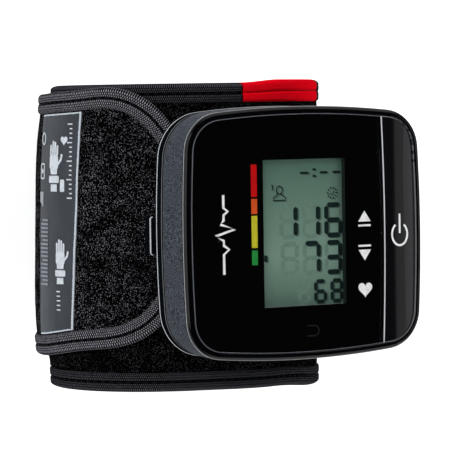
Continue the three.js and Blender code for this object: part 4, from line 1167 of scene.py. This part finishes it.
def on_loop(place, y, offset):
    """A place on the cuff, offset millimetres outside the line of the loop."""
    offset += barrel(place, y) + lean(place, y)
    y = spread_edge(place, y)
    wanted = place % LOOP_LENGTH
    high = min(bisect.bisect_right(loop_lengths, wanted), LOOP_SAMPLES)
    span = loop_lengths[high] - loop_lengths[high - 1]
    share = (wanted - loop_lengths[high - 1]) / span
    turn = loop_turns[high - 1] + (loop_turns[high] - loop_turns[high - 1]) * share
    out = Vector((math.cos(turn) / LOOP_HALF_WIDTH, math.sin(turn) / LOOP_HALF_HEIGHT)).normalized()
    x = LOOP_X + LOOP_HALF_WIDTH * math.cos(turn) + out.x * offset
    z = LOOP_Z + LOOP_HALF_HEIGHT * math.sin(turn) + out.y * offset
    return x, y, max(z, STAND_LEVEL)


def body_shift(place):
    return BODY_SHIFT * smooth((place - TIP_PLACE + TIP_BLUNT + SHIFT_RUN) / SHIFT_RUN)


def steps_between(start, end, step):
    count = max(2, round(abs(end - start) / step))
    return [start + (end - start) * k / count for k in range(count + 1)]


def between(first, last, share):
    """The place and Y at a share of the way from first to last."""
    return first[0] + (last[0] - first[0]) * share, first[1] + (last[1] - first[1]) * share


def slab(name, stations, shares, top, under, *materials):
    """A closed curved sheet. A station is its low and high edge, each a place and a Y."""
    points = []
    for offset in (top, under):
        for low, high in stations:
            for share in shares:
                place, y = between(low, high, share)
                points.append(on_loop(place, y, offset(place, y, share)))
    rows, columns = len(stations), len(shares)
    layer = rows * columns
    faces = []
    for i in range(rows - 1):
        for j in range(columns - 1):
            a = i * columns + j
            quad = (a, a + 1, a + columns + 1, a + columns)
            faces += [quad, tuple(layer + k for k in quad)]
    rim = [j for j in range(columns)]
    rim += [i * columns + columns - 1 for i in range(1, rows)]
    rim += [(rows - 1) * columns + j for j in range(columns - 2, -1, -1)]
    rim += [i * columns for i in range(rows - 2, 0, -1)]
    for k, a in enumerate(rim):
        b = rim[(k + 1) % len(rim)]
        faces.append((a, b, layer + b, layer + a))
    return new_object(name, points, faces, *materials)


def even_shares(count):
    return [k / count for k in range(count + 1)]


def crown(share, power=6):
    """1 over the middle of a field, falling to 0 at its edges."""
    return 1 - abs(2 * share - 1) ** power


def rumple(place, y, size, seed):
    return noise.noise(Vector((place / size, y / size, seed)))


FIELD_LOW = CUFF_LOW + BINDING_WIDTH - FIT_GAP
FIELD_HIGH = CUFF_HIGH - BINDING_WIDTH + FIT_GAP
LINING_FREE_LOW = LOOP_Z - LOOP_HALF_HEIGHT + 9
BODY_COLUMNS = 44
COVER_SWELL = 0.18
SIDE_SWELL = 0.15
SIDE_SWELL_START = 25
SIDE_SWELL_RUN = 15
COVER_RUMPLE = 0.05
LINING_FOLD = 0.3
LINING_BELLY = 0.6
LINING_LIFT = 0.3


def add_body():
    places = steps_between(BODY_START, BODY_SEWN_END, CLOTH_STEP)
    stations = [((p, FIELD_LOW), (p, FIELD_HIGH)) for p in places]
    shares = even_shares(BODY_COLUMNS)
    rim = BINDING_WIDTH + CLOTH_STEP

    def cover_top(place, y, share):
        swell = COVER_SWELL + SIDE_SWELL * smooth((abs(place) - SIDE_SWELL_START) / SIDE_SWELL_RUN)
        waves = COVER_RUMPLE * rumple(place, y, 2.5, 1)
        return body_shift(place) - COVER_INSET + swell * (crown(share) - 0.5) + waves

    def cover_under(place, y, share):
        return body_shift(place) - COVER_INSET - COVER_THICKNESS

    def lining_top(place, y, share):
        return body_shift(place) - LINING_DEPTH

    def lining_under(place, y, share):
        fold = LINING_FOLD * rumple(place, y / 5, 6, 5) * crown(share, 4)
        return body_shift(place) - BODY_THICKNESS - LINING_BELLY * crown(share, 4) + LINING_LIFT + fold

    def in_field(place):
        return CUFF_LOW + rim < place.y < CUFF_HIGH - rim

    def cover_held(place, outer):
        under_case = abs(place.x) < CASE_HALF_WIDTH and abs(place.y) < CASE_HALF_HEIGHT and place.z > LOOP_Z
        return not outer or not in_field(place) or under_case or place.z < LOOP_Z - LOOP_HALF_HEIGHT / 2

    def lining_held(place, outer):
        return outer or not in_field(place) or place.z < LINING_FREE_LOW

    # The cover takes the shaded copy of the pile: painted shade.
    cover = slab("cuff_cover_cloth", stations, shares, cover_top, cover_under, "dark_pile")
    puff(cover, cover_held, cap=0.45, growth=0.03)
    settle(cover, "monitor", "pile_fabric", "cuff_cover")
    lining = slab("cuff_lining_cloth", stations, shares, lining_top, lining_under, "lining")
    puff(lining, lining_held, cap=1.3, growth=0.05)
    settle(lining, "monitor", "lining", "cuff_lining")


# Binding tape: it folds round an edge and is sewn down the middle
TAPE_GROOVE = 0.4
TAPE_VALLEY = 0.1
TAPE_EDGE_SHARE = 0.2
TAPE_STEPS = 16
FOLD_STEPS = 6
TUCK_START = 0.86
BODY_TAPE_TUCK = COVER_INSET + 0.25
STRIP_TAPE_TUCK = WEB_INSET - 0.15


def tape_section(thickness, inner_depth):
    """The tape's outline from its fold: a share of its width and a depth for each point."""
    top = []
    for turn in quarter_turn(FOLD_STEPS):
        top.append((TAPE_EDGE_SHARE * (1 - math.cos(turn)), thickness / 2 * (1 - math.sin(turn))))
    for k in range(1, TAPE_STEPS + 1):
        share = TAPE_EDGE_SHARE + (1 - TAPE_EDGE_SHARE) * k / TAPE_STEPS
        valley = max(0, 1 - abs(share - 0.5) / TAPE_VALLEY) ** 1.5
        end = smooth((share - TUCK_START) / (1 - TUCK_START))
        top.append((share, TAPE_GROOVE * valley + inner_depth * end))
    under = [(share, thickness - depth) for share, depth in reversed(top[1:])]
    return top + under


def band(name, edges, base, thickness, inner_depth, *materials):
    """edges are pairs of outer and inner edge places; base gives the level that the tape starts from."""
    section = tape_section(thickness, inner_depth)
    rings, woven = [], []
    run, last = 0.0, None
    for outer, inner in edges:
        ring = []
        middle = Vector((outer[0] + inner[0], outer[1] + inner[1])) / 2
        run += (middle - last).length if last else 0
        last = middle
        for share, depth in section:
            place, y = between(outer, inner, share)
            ring.append(on_loop(place, y, base(place) - depth))
            woven.append((run, share * BINDING_WIDTH + depth, share))
        rings.append(ring)
    tape = loft(name, rings, *materials)
    store_weave(tape, woven)
    return tape


def store_weave(obj, places):
    """Keeps a place on the cloth with each point of a piece, which the tape materials read."""
    kept = obj.data.attributes.new(WEAVE, "FLOAT_VECTOR", "POINT")
    kept.data.foreach_set("vector", [part for place in places for part in place])


END_TAPE_STEP = 2.6
STITCH_SPACING = 2.3
STITCH_LENGTH = 1.5
STITCH_RADIUS = 0.1
STITCH_SIDES = 6
STITCH_SINK = 0.08
STITCH_CREASE = 80
# Along a stitch, and its width there
STITCH_PROFILE = ((0, 0.35), (0.25, 1), (0.75, 1), (1, 0.35))
TINY = 1e-6


def stitches(name, line, material):
    """Short raised threads along a line of places."""
    lengths = [0.0]
    for a, b in zip(line, line[1:]):
        lengths.append(lengths[-1] + (Vector(b) - Vector(a)).length)

    def along(length):
        k = min(bisect.bisect_right(lengths, length), len(line) - 1)
        share = (length - lengths[k - 1]) / max(lengths[k] - lengths[k - 1], TINY)
        return Vector(line[k - 1]).lerp(Vector(line[k]), share)

    points, faces = [], []
    count = int((lengths[-1] - STITCH_LENGTH) / STITCH_SPACING)
    for n in range(count):
        start = (n + 0.5) * STITCH_SPACING
        a, b = along(start), along(start + STITCH_LENGTH)
        axis = (b - a).normalized()
        side = axis.orthogonal().normalized()
        other = axis.cross(side)
        faces += ring_faces(len(STITCH_PROFILE), STITCH_SIDES, len(points))
        for share, width in STITCH_PROFILE:
            centre = a.lerp(b, share)
            for turn in full_turn(STITCH_SIDES):
                x, y, z = centre + STITCH_RADIUS * width * (side * math.cos(turn) + other * math.sin(turn))
                points.append((x, y, max(z, STAND_LEVEL)))
    return new_object(name, points, faces, material, crease=STITCH_CREASE)


def seam_line(edges, base, depth):
    line = []
    for outer, inner in edges:
        place = (outer[0] + inner[0]) / 2
        line.append(on_loop(place, (outer[1] + inner[1]) / 2, base(place) - depth))
    return line


def sewn_lines(run, edges, base, thickness, thread):
    """The stitches on the two faces of a tape."""
    depths = {"out": TAPE_GROOVE - STITCH_SINK, "in": thickness - TAPE_GROOVE + STITCH_SINK}
    return [
        stitches(f"stitches_{run}_{side}", seam_line(edges, base, depth), thread)
        for side, depth in depths.items()
    ]


def add_end_tapes():
    """Tape over the two ends of the body, inside the loop."""
    rows = steps_between(FIELD_LOW, FIELD_HIGH, END_TAPE_STEP)
    for run, end, inwards in (("outer_end", BODY_START, -1), ("inner_end", BODY_SEWN_END, 1)):
        edges = [((end, y), (end + inwards * BINDING_WIDTH, y)) for y in rows]
        # The end tapes take the shaded copy of the binding: painted shade.
        tape = band(f"tape_{run}", edges, body_shift, BODY_THICKNESS, BODY_TAPE_TUCK, "dark_binding")
        settle(tape, "monitor", "binding")


def add_body_bindings():
    marker_end = MARKER_START - MARKER_LENGTH
    high_inner = CUFF_HIGH - BINDING_WIDTH
    runs = [
        ("low", BODY_START, BODY_SEWN_END, CUFF_LOW, CUFF_LOW + BINDING_WIDTH, "binding", "binding_bottom"),
        ("left", BODY_START, RED_START + FIT_GAP, CUFF_HIGH, high_inner, "binding", "binding_top_left"),
        ("marker", RED_START, marker_end, CUFF_HIGH, high_inner, "marker", "binding_marker"),
        ("right", marker_end - FIT_GAP, BODY_SEWN_END, CUFF_HIGH, high_inner, "binding", "binding_top_right"),
    ]
    count = len(tape_section(BODY_THICKNESS, 0))
    for run, start, end, outer, inner, look, node in runs:
        proud = MARKER_PROUD if run == "marker" else 0
        edges = [
            ((p, outer + proud * smooth((RED_START - p) / MARKER_RISE)), (p, inner))
            for p in steps_between(start, end, MARKER_STEP)
        ]
        tape = band(f"tape_{run}", edges, body_shift, BODY_THICKNESS, BODY_TAPE_TUCK, look)

        def choose(face):
            place = edges[min(face.index // count, len(edges) - 1)][0][0]
            # Past the red part, and on the other body tapes, the shaded copy of the binding: painted shade.
            return "marker" if look == "marker" and place >= RED_END else "dark_binding"

        paint(tape, choose, look, "dark_binding")
        settle(tape, "monitor", look, node)
        thread = "red_thread" if look == "marker" else "thread"
        for sewn in sewn_lines(run, edges, body_shift, BODY_THICKNESS, thread):
            settle(sewn, "monitor", look)


# Strip: the strap under the loop goes on as the flap over the left bend, to its tongue-shaped tip
def flap_centre(place):
    return TIP_CENTRE - (TIP_CENTRE - FLAP_REST) * smooth((place - SETTLE_PLACE) / SETTLE_RUN)


def strip_edges(place, inset, share=1):
    if place > HINGE_PLACE:
        flare = smooth((place - STRAP_PLACE + STRAP_FLARE_RUN) / STRAP_FLARE_RUN)
        half = NECK_HALF_WIDTH + (CUFF_HALF_WIDTH - NECK_HALF_WIDTH) * flare
        centre = FLAP_REST + (CUFF_CENTRE - FLAP_REST) * flare
    else:
        half = FLAP_HALF_WIDTH + FLAP_FLARE * smooth((place - FLARE_PLACE) / FLARE_RUN)
        half -= (half - NECK_HALF_WIDTH) * smooth((place - NECK_PLACE) / NECK_RUN)
        centre = flap_centre(place)
    half = (half - inset) * share
    return (place, centre - half), (place, centre + half)


def strip_stations(inset):
    """From the tip of the flap to the far end of the strap."""
    stations = []
    for turn in quarter_turn(TIP_STEPS):
        along = 1 - math.cos(turn) ** (2 / TIP_POWER_SHARE)
        place = TIP_PLACE + inset + (TIP_ROUND - inset) * along
        stations.append(strip_edges(place, inset, math.sin(turn) ** (2 / TIP_POWER_SHARE)))
    for place in steps_between(TIP_PLACE + TIP_ROUND, STRAP_PLACE, CLOTH_STEP)[1:]:
        stations.append(strip_edges(place, inset))
    return stations


def level(place):
    return 0.0


HINGE_SPREAD = 7
STRIP_FREE_LEFT = -41
STRIP_FREE_RIGHT = -18
STRIP_FREE_LOW = -50
STRIP_COLUMNS = 36
WEB_CROWN = 0.2
WEB_RUMPLE = 0.06


def across_hinge(obj, slot, *nodes):
    """Hides the CAD nodes that the piece stands for and bakes the piece's place into its mesh."""
    before = at(on_loop(HINGE_PLACE + HINGE_SPREAD, 0, 0))
    after = at(on_loop(HINGE_PLACE - HINGE_SPREAD, 0, 0))
    if nodes:
        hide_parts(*nodes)
    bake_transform(obj)


# Cloth simulation, on a larger copy: air in a closed cloth piece swells and wrinkles it
SIM_SCALE = 20
SIM_FRAMES = 20
SIM_PRESSURE = 4
SIM_QUALITY = 6
HELD = "held"
TINY_MOVE = 1e-9


def puff(obj, held, cap, growth):
    """The points for which held is true stay, and none moves further than cap millimetres."""
    mesh = obj.data
    model = in_scene("model", mesh.copy())
    model.data.transform(Matrix.Scale(SIM_SCALE, 4))
    group = model.vertex_groups.new(name=HELD)
    layer = len(mesh.vertices) // 2
    places = [(v.co - FACE) / MM for v in mesh.vertices]
    group.add([k for k, place in enumerate(places) if held(place, k < layer)], 1, "REPLACE")
    cloth = model.modifiers.new("cloth", "CLOTH")
    cloth.settings.vertex_group_mass = HELD
    cloth.settings.use_pressure = True
    cloth.settings.uniform_pressure_force = SIM_PRESSURE
    cloth.settings.shrink_min = -growth
    cloth.settings.effector_weights.gravity = 0
    cloth.settings.quality = SIM_QUALITY
    cloth.point_cache.frame_start = 1
    cloth.point_cache.frame_end = SIM_FRAMES
    for frame_number in range(1, SIM_FRAMES + 1):
        bpy.context.scene.frame_set(frame_number)
    shaped = model.evaluated_get(bpy.context.evaluated_depsgraph_get())
    for vertex, blown in zip(mesh.vertices, shaped.data.vertices):
        move = blown.co / SIM_SCALE - vertex.co
        vertex.co += move * min(1, cap * MM / max(move.length, TINY_MOVE))
    mesh.update()
    bpy.data.objects.remove(model)
    bpy.context.scene.frame_set(1)


# Hook tape under the flap: a thin backing with rows of small bent hooks
PATCH_START = 29
PATCH_LENGTH = 24
PATCH_HALF_WIDTH = 22
PATCH_TOP = 1.75
PATCH_BACK = 1.98
HOOK_TIP = 2.36
HOOK_PITCH = 1.1
HOOK_HALF = 0.16
HOOK_BEND = 0.3
# Depth, shift along the tape and width
HOOK_PROFILE = ((PATCH_BACK - 0.05, 0, 1), (HOOK_TIP - 0.12, 0, 0.8), (HOOK_TIP, HOOK_BEND, 0.5))


def add_hook_tape():
    stations = []
    for place in steps_between(PATCH_START, PATCH_START + PATCH_LENGTH, HOOK_PITCH):
        centre = flap_centre(place)
        stations.append(((place, centre - PATCH_HALF_WIDTH), (place, centre + PATCH_HALF_WIDTH)))
    columns = round(2 * PATCH_HALF_WIDTH / HOOK_PITCH)
    back = slab(
        "hook_tape_cloth", stations, even_shares(columns),
        lambda place, y, share: -PATCH_TOP, lambda place, y, share: -PATCH_BACK, "hook",
    )
    settle(back, "flap", "hook", "hook_patch")
    points, faces = [], []
    corners = rectangle(-HOOK_HALF, HOOK_HALF, -HOOK_HALF, HOOK_HALF)
    for row, (low, high) in enumerate(stations[1:-1]):
        for k in range(1, columns):
            y = low[1] + (high[1] - low[1]) * (k + 0.5 * (row % 2)) / (columns + 1)
            faces += ring_faces(len(HOOK_PROFILE), len(corners), len(points))
            for depth, shift, width in HOOK_PROFILE:
                for du, dv in corners:
                    points.append(on_loop(low[0] + shift + du * width, y + dv * width, -depth))
    settle(new_object("hook_tape_hooks", points, faces, "chip"), "flap", "hook")


def add_strip():
    inset = BINDING_WIDTH - FIT_GAP
    stations = strip_stations(inset)[1:]

    def web_top(place, y, share):
        return -WEB_INSET + WEB_CROWN * crown(share) + WEB_RUMPLE * rumple(place, y, 2.2, 9)

    def web_under(place, y, share):
        return -WEB_INSET - WEB_THICKNESS

    def held(place, outer):
        at_rim = not STRIP_FREE_LEFT < place.x < STRIP_FREE_RIGHT or place.z < STRIP_FREE_LOW
        return not outer or at_rim or abs(place.y - FLAP_REST) > FLAP_HALF_WIDTH - BINDING_WIDTH - CLOTH_STEP

    web = slab("strip_cloth", stations, even_shares(STRIP_COLUMNS), web_top, web_under, "pile_fabric")
    puff(web, held, cap=0.22, growth=0.02)
    across_hinge(web, "pile_fabric", "cuff_strap", "cuff_flap")
    pairs = list(zip(strip_stations(0), strip_stations(BINDING_WIDTH)))
    low, high = ([(outside[side], inside[side]) for outside, inside in pairs] for side in (0, 1))
    edges = low[:0:-1] + high
    tape = band("tape_strip", edges, level, FLAP_THICKNESS, STRIP_TAPE_TUCK, "binding")
    across_hinge(tape, "binding", "strap_binding_bottom", "strap_binding_top", "flap_binding")
    for sewn in sewn_lines("strip", edges, level, FLAP_THICKNESS, "thread"):
        across_hinge(sewn, "binding")


TICK_HALF = 0.17
LABEL_COLUMNS = 60
LABEL_LEVEL = -0.22
LABEL_WAVE = 0.16
LABEL_RUMPLE = 0.05


def label_top(place, y, share=0):
    return LABEL_LEVEL + LABEL_WAVE * rumple(place, y, 7, 3) + LABEL_RUMPLE * rumple(place, y, 1.5, 4)


def on_label(place, y, lift):
    return on_loop(place, y, label_top(place, y) + lift)


def moved(place, y, outlines, scale=1.0):
    """Outlines drawn rightwards and upwards about a place on the label."""
    return [[(place - scale * u, y + scale * v) for u, v in outline] for outline in outlines]


def hand_sign():
    """A raised hand with a band round its wrist."""
    shapes = [rounded_rectangle(-1.5, 1.5, -1.6, 1.5, 0.7, 4)]
    for k, reach in enumerate((3.6, 4.4, 4.2, 3.5)):
        x = -1.15 + 0.77 * k
        shapes.append(rounded_rectangle(x - 0.3, x + 0.3, 1.3, reach, 0.28, 3))
    shapes += stroke([(1.3, -0.6), (2.3, 0.4), (2.6, 1.6)], 0.55)
    shapes += [[(-1.05, -2.6), (1.05, -2.6), (1.2, -1.4), (-1.2, -1.4)]]
    shapes += [rounded_rectangle(-1.7, 1.7, -4.4, -2.9, 0.3, 3)]
    shapes += [[(-1.1, -6.2), (1.1, -6.2), (1.05, -4.7), (-1.05, -4.7)]]
    return shapes


def ticks(place, y, count, pitch, outline):
    """A row of count short lines, pitch millimetres apart; outline draws each by its number."""
    return [shape for k in range(count) for shape in moved(place, y - pitch * k, [outline(k)])]


def add_label_signs():
    """Plain signs and ticks stand where the real label has its print."""
    half = TICK_HALF
    shapes = ticks(46.0, 28.2, 17, 1.2, lambda k: rectangle(-0.9 if k % 4 else -1.7, 0, -half, half))
    shapes += moved(48.9, 24.0, [heart(0, 0, 2.6)])
    shapes += moved(52.8, 18.4, hand_sign(), 1.25)
    shapes += moved(49.4, 12.2, [rounded_rectangle(-0.8, 0.8, -1.6, 1.6, 0.3, 3)])
    shapes += moved(58.6, 24.4, stroke(circle(0, 0, 1.0, 1.5, 20), 0.4, closed=True))
    shapes += moved(58.6, 15.9, stroke(rounded_rectangle(-1.0, 1.0, -1.9, 1.9, 0.4, 3), 0.4, closed=True))
    shapes += moved(58.6, 15.9, [circle(0, 0, 0.5, 0.7, 12)])
    for k in range(3):
        shapes += moved(58.4 + 0.7 * k, 8.6, [rectangle(-half, half, -1.9 + 0.5 * k, 1.9)])
    shapes += moved(50.2, -6.6, hand_sign(), 1.1)
    shapes += ticks(50.6, -15.4, 5, 1.2, lambda k: rectangle(-1.0, 0.3, -half, half))
    printed("label_signs", shapes, on_label, "label_ink", "flap", "label", lift=0.09, thickness=0.03)
    lines = ticks(57.4, 3.1, 17, 1.05, lambda k: rectangle(-2.0 if k * 7 % 5 else -1.1, 2.0, -0.27, 0.27))
    printed("label_lines", lines, on_label, "dim_ink", "flap", "label", lift=0.09, thickness=0.03)


def add_label():
    stations = []
    shares = even_shares(LABEL_COLUMNS)
    end = LABEL_START + LABEL_LENGTH
    for share in even_shares(round(LABEL_LENGTH / CLOTH_STEP * 2)):
        edges = []
        for side, start in enumerate((LABEL_START_LOW, LABEL_START_HIGH)):
            place = start + (end - start) * share
            edges.append((place, strip_edges(place, BINDING_WIDTH + LABEL_MARGIN)[side][1]))
        stations.append(tuple(edges))

    def label_under(place, y, share):
        return label_top(place, y, share) - LABEL_THICKNESS

    label = slab("label_cloth", stations, shares, label_top, label_under, "label")
    settle(label, "flap", "label", "flap_label")
    edge_places = []
    for low, high in stations:
        for share in shares:
            start = LABEL_START_LOW + (LABEL_START_HIGH - LABEL_START_LOW) * share
            long = high[1] - low[1]
            edge_places.append((between(low, high, share)[0] - start, long * share, long * (1 - share)))
    store_weave(label, edge_places * 2)


# Stage and light
FLOOR_SIZE = 6
FLOOR_GLOW = 0.6


def add_stage():
    """A white floor that adds its own light only where it is seen."""
    look = Look("floor", (0.93, 0.93, 0.93), 0.9)
    rays = look.add("ShaderNodeLightPath")
    seen = look.math("MAXIMUM", rays["Is Camera Ray"], rays["Is Glossy Ray"])
    seen = look.math("MAXIMUM", seen, rays["Is Transmission Ray"])
    look.set(Emission_Color=(1, 1, 1, 1), Emission_Strength=look.math("MULTIPLY", seen, FLOOR_GLOW))
    mesh = bpy.data.meshes.new("floor")
    half = FLOOR_SIZE / 2
    mesh.from_pydata([(x, y, 0) for x, y in rectangle(-half, half, -half, half)], [], [(0, 1, 2, 3)])
    mesh.materials.append(look.material)
    floor = in_scene("floor", mesh)


def add_lamp(name, azimuth, tilt, distance, size, radiance):
    """A square lamp. azimuth 0 is over +X and 90 over +Y, and tilt is the angle from straight up."""
    turn, lean = math.radians(azimuth), math.radians(tilt)
    towards = Vector((math.cos(turn) * math.sin(lean), math.sin(turn) * math.sin(lean), math.cos(lean)))
    data = bpy.data.lights.new(name, "AREA")
    data.shape = "SQUARE"
    data.size = size
    data.energy = radiance * math.pi * size * size
    lamp = in_scene(name, data)
    lamp.location = at((0, 0, 0)) + towards * distance
    lamp.rotation_mode = "QUATERNION"
    lamp.rotation_quaternion = towards.to_track_quat("Z", "Y")


SKY_TOP = (0.02, 0.02, 0.022)
SKY_SIDE = (0.3, 0.31, 0.33)
SKY_LOW = 0.45
SKY_HIGH = 0.8
# Name, azimuth, tilt, distance, size and radiance
LAMPS = [
    ("left_lamp", 165, 55, 1.2, 1.2, 2.4),
    ("back_lamp", 62, 57, 1.3, 1.2, 1.65),
    ("front_lamp", -57, 62, 1.4, 1.3, 2.05),
    ("right_card", 0, 56, 1.3, 0.75, 0.5),
]


def add_light():
    world = bpy.data.worlds.new("world")
    world.use_nodes = True
    bpy.context.scene.world = world
    tree = world.node_tree
    height = add_node(tree, "ShaderNodeSeparateXYZ", add_node(tree, "ShaderNodeTexCoord")["Generated"])["Z"]
    sky = add_ramp(tree, height, (SKY_LOW, SKY_SIDE), (SKY_HIGH, SKY_TOP))
    feed(tree, tree.nodes["Background"], Color=sky)
    for lamp in LAMPS:
        add_lamp(*lamp)


# CAD nodes that take another look than their record's: the cuff's inner layers take a near-black one, which
# is painted shade
NODE_LOOKS = {"cuff_shell": "shaded_inner_layer", "air_bladder": "shaded_inner_layer"}


def dress_nodes():
    """The CAD nodes that still show take their record's finish, and the cuff's inner layers a dark one, which
    is painted shade.
    """
    for row in frame["record"]["subparts"]:
        node = frame["nodes"][row["node"]]
        if not node.hide_render:
            node.data.materials.clear()
            node.data.materials.append(looks[NODE_LOOKS.get(row["node"], row["material_slot"])])


bpy.context.scene.view_settings.view_transform = "Standard"
for add_part in (
    add_camera, add_stage, add_light, add_housing, add_rear, add_door, add_lens, add_key, add_display,
    add_prints, add_power_symbol, add_body, add_body_bindings, add_end_tapes, add_strip, add_hook_tape,
    add_label, add_label_signs, dress_nodes,
):
    add_part()
